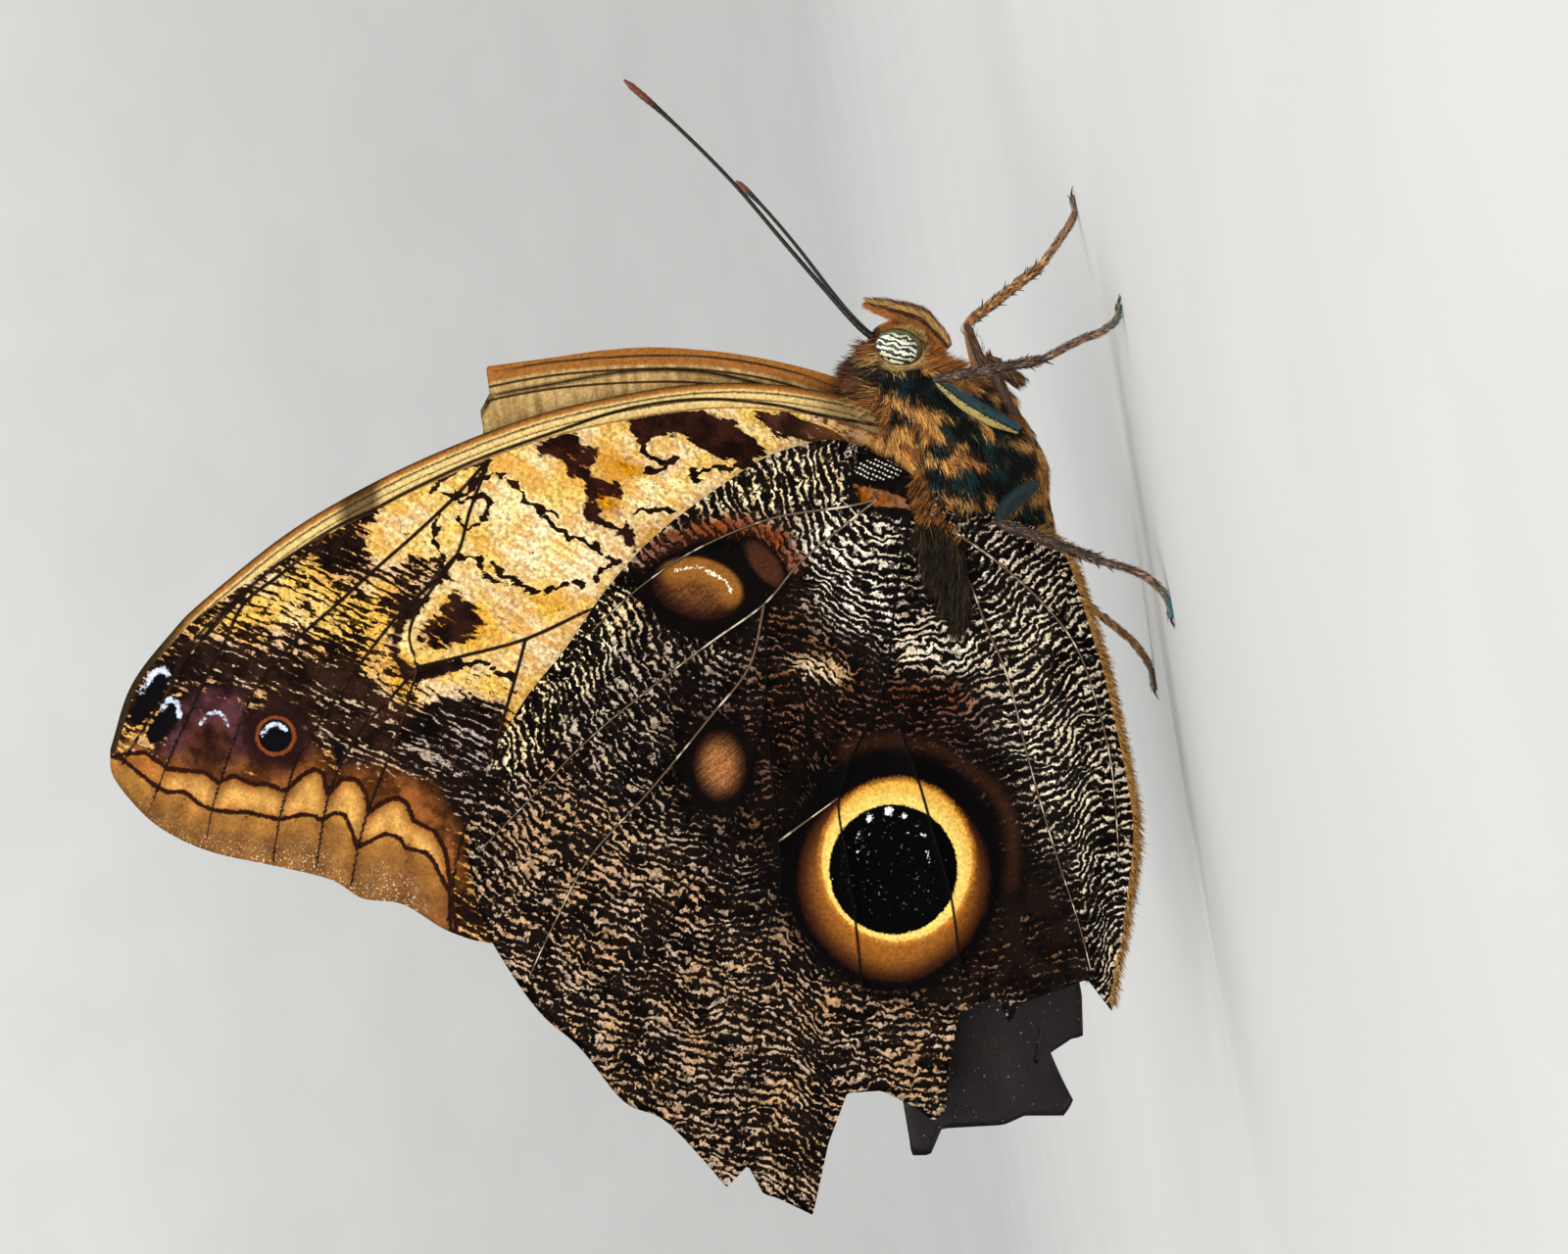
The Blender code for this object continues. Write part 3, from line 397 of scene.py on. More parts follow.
def sheet_faces(rows, columns, start, flip):
    """Faces of one side of a wing: a fan at the centre and a grid of rings round it."""
    k = np.arange(columns)
    fan = np.stack([np.zeros(columns, int), 1 + k, 1 + (k + 1) % columns], axis=1) + start
    quads = grid_faces(rows, columns, start + 1)
    fan = fan if not flip else fan[:, ::-1]
    quads = quads if flip else quads[:, ::-1]
    return quads, fan


def vein_lengths(veins, root, cross):
    """Each vein but the cross vein as fine points, run on past its end, with its start's length from the root."""
    result = []
    for number, vein in enumerate(veins):
        if number == cross:
            continue
        line = spline(vein, max(12, 6 * len(vein)))
        start = float(np.linalg.norm(line[0] - root))
        for other, base in result:
            gap, along = nearest(line[:1], other)
            if gap[0] < 0.8:
                start = base + float(along[0])
                break
        line = np.vstack([line, line[-1:] + unit(line[-1:] - line[-3:-2]) * 12.0])
        result.append((line, start))
    return result


def vein_fields(points, veins, root, cross):
    """Length from the root along the nearest veins, blended by the inverse cube of the distance, and the distance."""
    weight = np.zeros(len(points))
    total = np.zeros(len(points))
    for line, base in vein_lengths(veins, root, cross):
        gap, along = nearest(points, line)
        w = 1.0 / (gap + 0.6) ** 3
        total += w * (base + along)
        weight += w
    return total / weight, vein_gap(points, veins)


def vein_gap(points, veins):
    """Distance from the nearest vein."""
    closest = np.full(len(points), 99.0)
    for vein in veins:
        closest = np.minimum(closest, nearest(points, spline(vein, 4 * len(vein)))[0])
    return closest


# ---- markings: softness, share of pale scales, pale colour, dark colour, outline ----
# A None leaves what is underneath. A softness is in millimetres, a share between 0 and 1.
FORE_GROUND = (1.0, (234, 196, 120), (30, 14, 9))
FORE_PAINT = [
    ("outer half", 0.5, 0.38, (214, 166, 108), (28, 14, 9), path(-418, -7, -430, -42, -440, -67, -423, -89,
        -400, -72, -373, -77, -365, -92, -390, -104, -413, -127, -418, -154, -400, -164, -383, -175, -352,
        -184, -323, -189, -300, -175, -283, -234, -283, -417, -383, -417, -500, -367, -675, -317, -675,
        -134, -558, -75, -475, -17)),
    ("dark band inside the pale lobe", 0.8, 0.26, (206, 150, 84), (24, 12, 8), path(-430, -19, -423, -27,
        -445, -47, -440, -67, -418, -92, -392, -104, -413, -130, -420, -154, -430, -160, -456, -134, -475,
        -104, -485, -72, -466, -42)),
    ("pale lobe at the costa", 0.9, 0.7, (232, 190, 112), (40, 22, 12), path(-540, -114, -516, -87, -486, -75,
        -466, -100, -456, -135, -475, -147, -503, -134, -531, -130, -586, -147, -575, -125)),
    ("yellow streaks beyond the cell", 0.9, 0.52, (230, 184, 106), (34, 17, 10), path(-461, -92, -418, -92,
        -413, -134, -408, -164, -420, -184, -441, -174, -458, -142)),
    ("yellow by the cell's end", 0.7, 0.72, (222, 170, 92), (40, 22, 12), path(-418, -142, -400, -164, -397,
        -184, -408, -205, -426, -200, -440, -175, -433, -154)),
    ("yellow arcs below the cell", 0.7, 0.86, (232, 188, 110), (40, 22, 12), path(-397, -175, -358, -167,
        -333, -170, -313, -184, -320, -217, -333, -204, -355, -197, -383, -199, -395, -209)),
    ("pale below the vein", 0.5, 1.0, (234, 196, 120), None, path(-300, -145, -250, -124, -233, -100, -258,
        -142, -293, -194, -308, -217, -315, -194)),
    ("patch A", 0.3, 0.06, (150, 90, 40), (42, 18, 13), path(-219, 44, -189, 51, -158, 51, -131, 44, -112, 27,
        -100, 14, -118, 5, -134, 10, -152, 18, -162, 26, -174, 31, -195, 28, -202, 22, -210, 29, -215,
        37)),
    ("amber under patch A", 0.9, 1.0, (196, 132, 50), None, path(-242, 11, -229, 15, -202, 6, -189, -2, -205,
        -7, -223, -10, -240, -6)),
    ("patch B", 0.3, 0.08, (150, 90, 40), (42, 18, 13), path(-296, 20, -285, 26, -259, 32, -256, 22, -242, 19,
        -244, 9, -250, 3, -244, -6, -234, -9, -220, -11, -223, -25, -232, -23, -238, -29, -251, -23, -254,
        -9, -266, -6, -269, 3, -279, 11, -289, 12)),
    ("patch C", 0.3, 0.08, (150, 90, 40), (42, 18, 13), path(-254, -36, -251, -23, -238, -29, -242, -39, -232,
        -44, -220, -51, -218, -41, -207, -71, -212, -71, -220, -57, -232, -50, -251, -45)),
    ("amber in patch C", 0.5, 0.96, (196, 132, 54), None, path(-240, -26, -223, -23, -221, -38, -236, -40)),
    ("amber by the hindwing", 0.8, 1.0, (206, 150, 68), None, path(-209, -42, -177, -37, -189, -50, -206,
        -68)),
    ("brown wedge by the root", 0.5, 0.16, (170, 120, 60), (62, 34, 24), path(-109, 49, -84, 49, -57, 40, -23,
        24, -41, 21, -63, 23, -84, 27, -103, 40)),
    ("golden foot of the cell", 1.2, 0.98, (226, 178, 96), None, path(-362, -133, -337, -108, -306, -102,
        -269, -99, -232, -83, -245, -114, -300, -139, -387, -161)),
    ("bright middle", 1.4, 1.0, (248, 220, 156), None, path(-337, -9, -313, -6, -282, -34, -251, -62, -226,
        -77, -251, -97, -294, -96, -322, -62)),
    ("bright by the hindwing", 0.8, 1.0, (246, 216, 150), None, path(-220, -13, -189, -6, -121, 1, -146, -19,
        -177, -37, -202, -39)),
    ("cell-end ring", 0.35, 1.0, (240, 208, 138), None, path(-411, -133, -396, -116, -374, -114, -374, -122,
        -386, -124, -395, -136, -390, -149, -374, -154, -390, -161, -406, -154)),
    ("cell-end patch", 0.7, 0.12, (190, 130, 60), (38, 18, 13), path(-374, -114, -362, -105, -350, -114, -339,
        -130, -350, -145, -374, -154, -388, -150, -394, -138, -386, -127, -374, -123)),
    ("dark by the cell's end", 0.35, 0.08, (120, 75, 35), (30, 16, 12), path(-418, -154, -413, -127, -393,
        -105, -383, -109, -407, -134, -410, -157, -397, -169, -358, -160, -358, -169, -392, -179, -407,
        -175)),
    ("striae under the arcs", 0.8, 0.3, (176, 154, 138), (16, 8, 5), path(-397, -202, -357, -190, -323, -197,
        -323, -234, -350, -308, -417, -300, -417, -234)),
    ("dusky zone before the eyespots", 1.0, 0.24, (196, 168, 142), (38, 20, 14), path(-628, -194, -612, -164,
        -591, -144, -562, -142, -531, -157, -495, -170, -475, -160, -450, -167, -418, -189, -407, -205,
        -413, -242, -430, -260, -463, -248, -481, -220, -491, -199, -516, -184, -545, -184, -586, -179,
        -608, -184)),
    ("violet lobe", 1.0, 0.03, (150, 95, 95), (74, 42, 46), path(-586, -184, -550, -189, -531, -209, -536,
        -250, -558, -267, -603, -260, -616, -242)),
    ("brown shade of the lobe", 1.0, None, None, (70, 34, 22), path(-586, -215, -556, -215, -551, -242, -571,
        -252, -590, -243)),
    ("orange-brown before the bands", 1.3, 0.1, (190, 125, 62), (128, 74, 34), path(-611, -243, -553, -250,
        -531, -245, -483, -238, -463, -258, -433, -258, -387, -267, -358, -317, -358, -350, -413, -300,
        -500, -283, -566, -275, -616, -267)),
    ("dark round the small eye", 0.9, 0.03, (90, 50, 35), (40, 20, 18), path(-536, -202, -515, -194, -491,
        -202, -481, -224, -485, -248, -505, -258, -531, -250, -541, -225)),
    ("dark root of the leading edge", 0.6, 0.1, (150, 96, 48), (48, 28, 16), path(-55, 70, -25, 66, 6, 48, 3,
        26, -32, 38, -55, 46)),
    ("tip", 0.4, 0.5, (214, 160, 84), (120, 75, 40), path(-655, -234, -633, -224, -616, -220, -633, -267,
        -656, -267)),
]
FORE_LINES = [
    path(-343, -9, -331, -4, -319, -7, -308, -17, -303, -26, -294, -32, -282, -36, -276, -40),
    path(-289, -39, -276, -50, -266, -56, -254, -60, -245, -65),
    path(-245, -65, -232, -76, -223, -77, -239, -86, -243, -93, -251, -97, -266, -96, -282, -102, -297, -103,
        -308, -96, -322, -90, -331, -80),
    path(-359, -28, -348, -25, -337, -22, -334, -31, -340, -43, -353, -50, -359, -43),
    path(-377, -40, -380, -53, -379, -65, -371, -74),
    path(-383, -19, -374, -9, -359, 0, -334, 8),
    path(-374, -20, -362, -23, -350, -16, -334, 6),
    path(-205, 24, -199, 12, -188, 7, -175, 9, -189, 1, -202, -2),
    path(-158, -9, -162, -3, -146, 1, -125, 2, -109, 6),
    path(-208, -35, -195, -34, -180, -35),
    path(-360, -77, -354, -74, -343, -77, -337, -90, -330, -94),
    path(-393, -173, -368, -169, -346, -164, -337, -165, -328, -173, -313, -176),
]
FORE_SCALLOP = path(-650, -242, -625, -240, -606, -254, -574, -257, -563, -266, -550, -259, -533, -268, -524,
    -266, -506, -273, -492, -259, -481, -254, -474, -258, -471, -276, -458, -262, -446, -263, -438, -275,
    -436, -291, -423, -282, -412, -278, -403, -284, -398, -298, -380, -307, -371, -323, -365, -362, -358,
    -425)
FORE_MIDLINE = path(-666, -242, -645, -245, -631, -257, -617, -268, -606, -274, -592, -273, -579, -284, -570,
    -288, -551, -291, -540, -290, -529, -293, -511, -297, -494, -293, -483, -293, -476, -298, -465, -291,
    -456, -293, -450, -307, -446, -321, -432, -314, -422, -309, -410, -312, -405, -321, -387, -325, -380,
    -334, -373, -348, -367, -359, -365, -425)
FORE_CRESCENTS = [
    path(-628, -189, -620, -175, -611, -169, -606, -174),
    path(-611, -204, -605, -195, -598, -199, -596, -210),
    path(-578, -215, -571, -207, -561, -207, -556, -217),
    path(-526, -225, -522, -219, -514, -216, -506, -221),
]
FORE_TIP_EYE = path(-610, -167, -605, -175, -611, -194, -625, -212, -635, -220, -638, -209, -631, -190)
FORE_SECOND_EYE = path(-603, -194, -595, -202, -598, -215, -610, -229, -621, -234, -625, -224, -616, -209)
FORE_SMALL_EYE = (-51.5, -22.6)
FORE_WEDGE = path(-466, -235, -456, -235, -461, -258)

HIND_GROUND = (0.35, (180, 159, 138), (12, 8, 7))
HIND_PAINT = [
    ("tan towards the tail", 3.0, 0.38, (186, 152, 120), (15, 9, 7), path(-349, -250, -283, -233, -216, -283,
        -166, -333, -117, -374, -34, -416, 66, -457, 74, -524, -34, -648, -166, -598, -283, -499, -357,
        -399)),
    ("bold white by the base", 1.2, 0.4, (236, 222, 200), (10, 6, 5), path(-52, -17, -14, -34, 19, -55, 18,
        -100, 14, -150, -14, -152, -40, -134, -54, -100, -74, -76)),
    ("leading edge bars", 1.2, 0.39, (244, 218, 172), (14, 8, 6), path(-45, 22, -35, -17, -92, -41, -130, -42,
        -175, -76, -216, -134, -283, -233, -316, -266, -332, -233, -249, -100, -166, -17)),
    ("dark round the upper ocellus", 1.4, 0.05, (110, 60, 34), (8, 5, 4), path(-207, -71, -171, -44, -121,
        -37, -83, -55, -65, -84, -79, -117, -117, -144, -166, -142, -200, -117, -216, -92)),
    ("brown band over the upper ocellus", 0.7, 0.6, (124, 70, 44), (40, 20, 13), path(-216, -74, -175, -47,
        -121, -37, -83, -51, -64, -76, -74, -92, -95, -67, -129, -54, -166, -61, -200, -84)),
    ("reddish shade above the great eye", 3.2, 0.24, (92, 66, 52), (9, 5, 4), path(-83, -134, -34, -142, -1,
        -167, 49, -175, 82, -200, 107, -250, 121, -316, 82, -432, 33, -457, -34, -432, -83, -399, -117,
        -333, -175, -300, -183, -233, -166, -183, -117, -183)),
    ("reddish fields by the trunk vein", 2.4, 0.34, (110, 74, 54), (13, 8, 6), path(-108, -134, -83, -100,
        -45, -150, -1, -157, -1, -183, -34, -217, -83, -233, -117, -217)),
    ("pale fleck", 0.8, 0.66, (214, 180, 140), None, path(-79, -160, -50, -157, -29, -172, -35, -183, -67,
        -178)),
    ("bright below the fork", 1.2, 0.5, (232, 216, 192), (8, 5, 4), path(9, -134, 74, -117, 91, -167, 49,
        -175, 11, -167)),
    ("red between the forks", 1.6, 0.34, (112, 68, 48), (11, 6, 5), path(6, -175, 70, -178, 82, -217, 41,
        -217, -1, -208)),
    ("anal field", 1.6, 0.38, (218, 202, 176), (12, 8, 7), path(56, -51, 165, -67, 224, -266, 215, -432, 174,
        -441, 141, -316, 107, -233, 91, -167, 70, -100)),
    ("brown below the anal veins", 2.4, 0.2, (110, 82, 62), (18, 11, 8), path(87, -349, 116, -308, 149, -333,
        174, -399, 165, -441, 91, -457, 49, -449, 66, -399)),
    ("hairy wedge", 0.7, 0.04, (70, 55, 35), (34, 26, 18), path(21, -55, 41, -51, 63, -57, 69, -80, 73, -103,
        73, -129, 68, -147, 58, -134, 45, -110, 33, -84)),
    ("black shoulder", 0.4, 0.06, (235, 230, 220), (12, 8, 8), path(-25, 14, -1, 12, 19, -1, 24, -17, 11, -22,
        -5, -12, -22, -4)),
    ("black about the orange bar", 0.25, 0.02, (90, 60, 40), (10, 6, 5), path(-30, -7, -12, -8, 9, -17, 31,
        -27, 29, -42, -1, -41, -25, -34)),
    ("orange bar of the shoulder", 0.3, 1.0, (132, 74, 26), (40, 18, 8), path(-25, -13, -12, -14, 7, -22, 24,
        -30, 23, -36, -1, -33, -20, -27)),
]
HIND_SHOULDER = (-0.4, -0.1)
HIND_PUPIL = (0.9, -33.9)
HIND_UPPER = (-15.6, -10)
HIND_UPPER_CRESCENT = (-10, -8)
HIND_UPPER_ARC = path(-176, -86, -166, -84, -156, -83, -141, -90, -132, -96, -128, -104)
HIND_LOWER = (-13.8, -25.1)
HIND_SPARKS = [((-1.1, -29.5), 0.36), ((0.5, -29), 0.42), ((1.8, -29.4), 0.36), ((-2, -31), 0.3),
    ((-2.1, -32.4), 0.18), ((2.8, -30.2), 0.2), ((3.4, -31), 0.24), ((3.8, -32.4), 0.18), ((3.9, -33.2),
    0.14), ((-1.1, -30.9), 0.13), ((2.1, -30.9), 0.13), ((-4.3, -34.7), 0.12)]
HIND_OUTER_ARC = path(-32, -241, -17, -233, 11, -231, 38, -236, 58, -245, 73, -256, 94, -273, 106, -293, 110,
    -322, 107, -349)
HAIR_WEDGE = path(28, -41, 39, -39, 56, -46, 66, -67, 74, -97, 71, -119, 59, -134, 63, -110, 49, -114, 51,
    -92, 36, -82, 31, -61)
FORE_BASE_HAIR = path(-6, 65, 10, 56, 26, 25, 18, 11, 6, 33, -4, 48)
HIND_BASE_HAIR = path(34, 7, 51, -34, 70, -57, 56, -61, 33, -42, 24, -13)
FORE_FOLDS = [
    path(-590, -270, -600, -311),
    path(-539, -292, -547, -328),
    path(-470, -277, -480, -336),
    path(-402, -316, -407, -364),
]


def paint(points, ground, layers, seed):
    """Share of pale scales, pale and dark colours over a wing: each patch laid over the last one.

    A patch counts fully inside its outline and fades out over its softness; the outline is
    first roughened by soft random hills.
    """
    count = len(points)
    share = np.full(count, float(ground[0]))
    pale = np.tile(colour(*ground[1]), (count, 1))
    dark = np.tile(colour(*ground[2]), (count, 1))
    for number, (_, soft, new_share, new_pale, new_dark, outline) in enumerate(layers):
        reach = 2 * soft + 1
        near = ((points > outline.min(axis=0) - reach) & (points < outline.max(axis=0) + reach)).all(axis=1)
        here = points[near]
        rough = 0.22 * waves(here, 2.6, seed + number) + 0.16 * waves(here, 0.9, seed + 50 + number)
        mask = 1.0 - smoothstep(-soft, soft, patch_distance(here, outline) + rough * min(1.0, soft * 2.5))
        if new_share is not None:
            share[near] += (new_share - share[near]) * mask
        for values, new in ((pale, new_pale), (dark, new_dark)):
            if new is not None:
                values[near] += (colour(*new) - values[near]) * mask[:, None]
    return share, pale, dark


def beyond(points, line):
    """Distance from a line across a wing, positive on its right-hand side."""
    line = np.array(line, float)
    gap, _ = nearest(points, line)
    reach = np.array(((40.0, -160.0), (-160.0, -160.0), (-160.0, line[0, 1])))
    side = within(points, np.vstack([line, reach]))
    return np.where(side, gap, -gap)


def mark_fore(item, points, index, turn):
    """Keep the forewing's markings on its points; turn swings them back about the wing's root."""
    c, s = math.cos(turn), math.sin(turn)
    d = points - FORE_ROOT
    flat = FORE_ROOT + np.stack([d[:, 0] * c - d[:, 1] * s, d[:, 0] * s + d[:, 1] * c], axis=1)
    share, pale, dark = paint(flat, FORE_GROUND, FORE_PAINT, 11)
    for line in FORE_LINES:
        line = spline(line, 6 * len(line))
        gap, _ = nearest(flat + 0.25 * np.stack([waves(flat, 1.3, 3), waves(flat, 1.3, 4)], axis=1), line)
        share *= smoothstep(0.05, 0.34, gap)
    along, vein = vein_fields(flat, FORE_VEINS, FORE_ROOT, FORE_CROSS)
    costa, _ = nearest(flat, spline(FORE_COSTA, 160))
    crescent = np.full(len(flat), 9.0)
    for line, wide in zip(FORE_CRESCENTS, (0.36, 0.34, 0.26, 0.3)):
        crescent = np.minimum(crescent, nearest(flat, spline(line, 20))[0] - wide)
    black = np.minimum(patch_distance(flat, FORE_TIP_EYE), patch_distance(flat, FORE_SECOND_EYE))
    black = np.minimum(black, patch_distance(flat, FORE_WEDGE))
    eye = oval_distance(flat, FORE_SMALL_EYE, (1.0, 1.0))
    fold = np.full(len(flat), 9.0)
    for line in FORE_FOLDS:
        fold = np.minimum(fold, nearest(flat, spline(line, 30))[0])
    store_all(item, index, fold=fold, share=share, pale_colour=pale, dark_colour=dark, flow=(along, vein, costa),
              marks=(beyond(flat, FORE_SCALLOP), beyond(flat, FORE_MIDLINE), crescent),
              spots=(black, eye, flat[:, 0]))


def mark_hind(item, points, index):
    """Keep the hindwing's markings on its points."""
    share, pale, dark = paint(points, HIND_GROUND, HIND_PAINT, 31)
    along, vein = vein_fields(points, HIND_VEINS, HIND_ROOT, HIND_CROSS)
    edge, _ = nearest(points, spline(HIND_LEADING, 160))
    u, v = HIND_PUPIL
    around = np.minimum(oval_distance(points, (u, v + 0.1), (9.25, 9.9), point=0.06),
                        oval_distance(points, np.add(HIND_UPPER, (0.35, -0.6)), (5.0, 3.9), -14))
    sparks = np.full(len(points), 9.0)
    for centre, size in HIND_SPARKS:
        sparks = np.minimum(sparks, np.linalg.norm(points - centre, axis=1) - size)
    slant = math.radians(-25)
    offset = points - np.array(HIND_SHOULDER)
    store_all(
        item, index, share=share, pale_colour=pale, dark_colour=dark, flow=(along, vein, edge),
        marks=(oval_distance(points, (u, v), (5.45, 5.5)),
               oval_distance(points, (u + 0.3, v + 0.7), (6.35, 6.75)),
               oval_distance(points, (u + 0.05, v - 0.75), (8.05, 8.3), point=0.05)),
        spots=(around, oval_distance(points, HIND_UPPER, (4.0, 2.65), -12),
               nearest(points, spline(HIND_UPPER_ARC, 40))[0] - 0.3),
        more=(oval_distance(points, HIND_UPPER_CRESCENT, (2.3, 1.05), -52),
              oval_distance(points, HIND_LOWER, (2.25, 3.0)),
              nearest(points, spline(HIND_OUTER_ARC, 60))[0]),
        sparks=sparks,
        shoulder=(offset @ (math.cos(slant), math.sin(slant)), offset @ (-math.sin(slant), math.cos(slant)),
                  oval_distance(points, HIND_SHOULDER, (2.3, 1.05), -0.4363)))


def make_wing(name, stretches, centre, depth, side, veins, count, rings, looks, membrane, turn=0.0,
              pale_veins=()):
    """A wing as one closed skin: an outer and an inner sheet on either side of its middle surface.

    The sheets stand apart by the membrane's thickness, swelling in a bell on each vein and
    sinking between veins; the two rims meet in one edge. Each vein is a fine half-sunk rod.
    """
    rim = wing_rim(stretches, count)
    plane = wing_sheet(rim, np.array(centre), rings, 8)
    rows = rings + 8
    vein = vein_gap(plane, veins)
    gap, _ = nearest(plane, np.vstack([rim, rim[:1]]))
    ease = smoothstep(0.0, 2.0, gap)
    ridge = 0.10 * np.exp(-(vein / 0.35) ** 2) - 0.07 * smoothstep(0.4, 2.4, vein) * ease
    sway = (0.16 * waves(plane, 14.0, 5) + 0.05 * waves(plane, 5.0, 6)) * ease
    half = membrane / 2 * (0.35 + 0.65 * smoothstep(0.0, 0.5, gap))
    middle = side * (depth(plane) + sway)
    outer = place(plane[:, 0], plane[:, 1], middle + side * (half + ridge))
    inner = place(plane[:, 0], plane[:, 1], middle - side * (half + ridge * 0.6))
    total = len(plane)
    first_rim = total - count
    outer_faces = sheet_faces(rows, count, 0, side > 0)
    inner_faces = sheet_faces(rows, count, total, side < 0)
    k = np.arange(count)
    j = (k + 1) % count
    edge = np.stack([first_rim + k, first_rim + j, total + first_rim + j, total + first_rim + k], axis=1)
    if side > 0:
        edge = edge[:, ::-1]
    shapes = {2: [], 3: []}
    swing = np.array(((math.cos(turn), math.sin(turn)), (-math.sin(turn), math.cos(turn))))
    for number, line in enumerate(veins):
        line = spline(line, max(24, 12 * len(line)))
        if turn:
            line = FORE_ROOT + (line - FORE_ROOT) @ swing.T
        keep = within(line, rim) & (nearest(line, np.vstack([rim, rim[:1]]))[0] > 0.25)
        line = line[keep]
        if len(line) > 3:
            lift = side * (depth(line) + 0.16 * waves(line, 14.0, 5) + 0.05 * waves(line, 5.0, 6))
            radius = np.linspace(0.105, 0.045, len(line)) * MM
            path = place(line[:, 0], line[:, 1], lift + side * (membrane / 2 + 0.08))
            shapes[3 if number in pale_veins else 2].append(tube(path, radius, 6))
            path = place(line[:, 0], line[:, 1], lift - side * (membrane / 2 + 0.05))
            shapes[2].append(tube(path, radius, 6))
    blocks = [outer_faces[0], outer_faces[1], inner_faces[0], inner_faces[1], edge]
    slots = [0, 0, 1, 1, 1]
    points = np.vstack([outer, inner])
    for slot, group in shapes.items():
        if group:
            rods, rod_faces, _ = merged(group)
            for block in rod_faces:
                blocks.append(block + len(points))
                slots.append(slot)
            points = np.vstack([points, rods])
    number = np.concatenate([np.full(len(block), slot) for block, slot in zip(blocks, slots)])
    item = new_mesh(name, points, blocks, looks, number)
    tail = points[2 * total:] / MM - PLANE
    flat = np.stack([-math.sin(ROLL) * tail[:, 0] - math.cos(ROLL) * tail[:, 2],
                     math.cos(ROLL) * tail[:, 0] - math.sin(ROLL) * tail[:, 2]], axis=1)
    index = np.concatenate([np.arange(total), np.arange(total), np.arange(total, total + len(flat))])
    return item, np.vstack([plane, flat]), index


class Nodes:
    """Short words for the nodes of one material or node group."""

    def __init__(self, tree):
        self.tree = tree

    def add(self, kind, values=(), **settings):
        node = self.tree.nodes.new(kind)
        for key, value in settings.items():
            setattr(node, key, value)
        for key, value in dict(values).items():
            self.feed(node.inputs[key], value)
        return node

    def feed(self, socket, value):
        if isinstance(value, bpy.types.NodeSocket):
            self.tree.links.new(value, socket)
        elif isinstance(value, tuple) and socket.type == "RGBA":
            socket.default_value = (*colour(*value), 1.0)
        elif isinstance(value, np.ndarray) and socket.type == "RGBA":
            socket.default_value = (*value, 1.0)
        elif isinstance(value, (tuple, list, np.ndarray)):
            socket.default_value = [float(x) for x in value]
        else:
            socket.default_value = value

    def math(self, operation, a, b=0.0, c=0.0):
        return self.add("ShaderNodeMath", {0: a, 1: b, 2: c}, operation=operation).outputs[0]

    def times(self, a, b):
        return self.math("MULTIPLY", a, b)

    def plus(self, a, b):
        return self.math("ADD", a, b)

    def minus(self, a, b):
        return self.math("SUBTRACT", a, b)

    def times_plus(self, a, b, c):
        return self.math("MULTIPLY_ADD", a, b, c)

    def cosine(self, a):
        return self.math("COSINE", a)

    def step(self, value, low, high, start=0.0, end=1.0):
        """Smooth step of a value between two limits."""
        node = self.add("ShaderNodeMapRange", {0: value, 1: low, 2: high, 3: start, 4: end},
                        interpolation_type="SMOOTHSTEP")
        return node.outputs[0]

    def mix(self, share, a, b):
        return self.add("ShaderNodeMix", {0: share, 6: a, 7: b}, data_type="RGBA").outputs[2]

    def wash(self, below, above, value, *limits):
        """A colour laid over another by the smooth step of a value."""
        return self.mix(self.step(value, *limits), below, above)

    def lay(self, below, above, distance, soft, reach=1.0, outset=0.0):
        """Colour above where a distance field less its outset, roughened by the jitter, is below zero."""
        if outset:
            distance = self.math("SUBTRACT" if outset > 0 else "ADD", distance, abs(outset))
        rough = self.times_plus(self.jitter, reach, distance)
        return self.mix(self.step(rough, -soft, soft, 1.0, 0.0), below, above)

    def noise(self, place, scale, detail=2.0, rough=0.5):
        node = self.add("ShaderNodeTexNoise", {"Vector": place, "Scale": scale, "Detail": detail, "Roughness": rough})
        return node.outputs[0]

    def field(self, name):
        """The three numbers kept under a name on the mesh's points."""
        node = self.add("ShaderNodeAttribute", attribute_name=name)
        parts = self.add("ShaderNodeSeparateXYZ", {0: node.outputs["Vector"]})
        return parts.outputs[0], parts.outputs[1], parts.outputs[2]

    def shade(self, name):
        return self.add("ShaderNodeAttribute", attribute_name=name).outputs["Color"]

    def amount(self, name):
        return self.add("ShaderNodeAttribute", attribute_name=name).outputs["Fac"]

    def place_mm(self, stretch=(1.0, 1.0, 1.0)):
        """Object coordinates in millimetres."""
        at = self.add("ShaderNodeTexCoord").outputs["Object"]
        scale = tuple(value / MM for value in stretch)
        return self.add("ShaderNodeMapping", {"Vector": at, "Scale": scale}).outputs[0]

    def place_turned(self, degrees, stretch):
        """Object coordinates in millimetres turned about the crosswise axis, then stretched."""
        at = self.add("ShaderNodeTexCoord").outputs["Object"]
        scale = tuple(MM / value for value in stretch)
        return self.add("ShaderNodeMapping", {"Vector": at, "Rotation": (0.0, math.radians(degrees), 0.0),
                                              "Scale": scale}, vector_type="TEXTURE").outputs[0]

    def tint(self, shade, value, saturation=1.0):
        return self.add("ShaderNodeHueSaturation", {"Color": shade, "Value": value,
                                                    "Saturation": saturation}).outputs[0]

    def bump(self, height, strength, distance):
        return self.add("ShaderNodeBump", {"Height": height, "Strength": strength, "Distance": distance}).outputs[0]


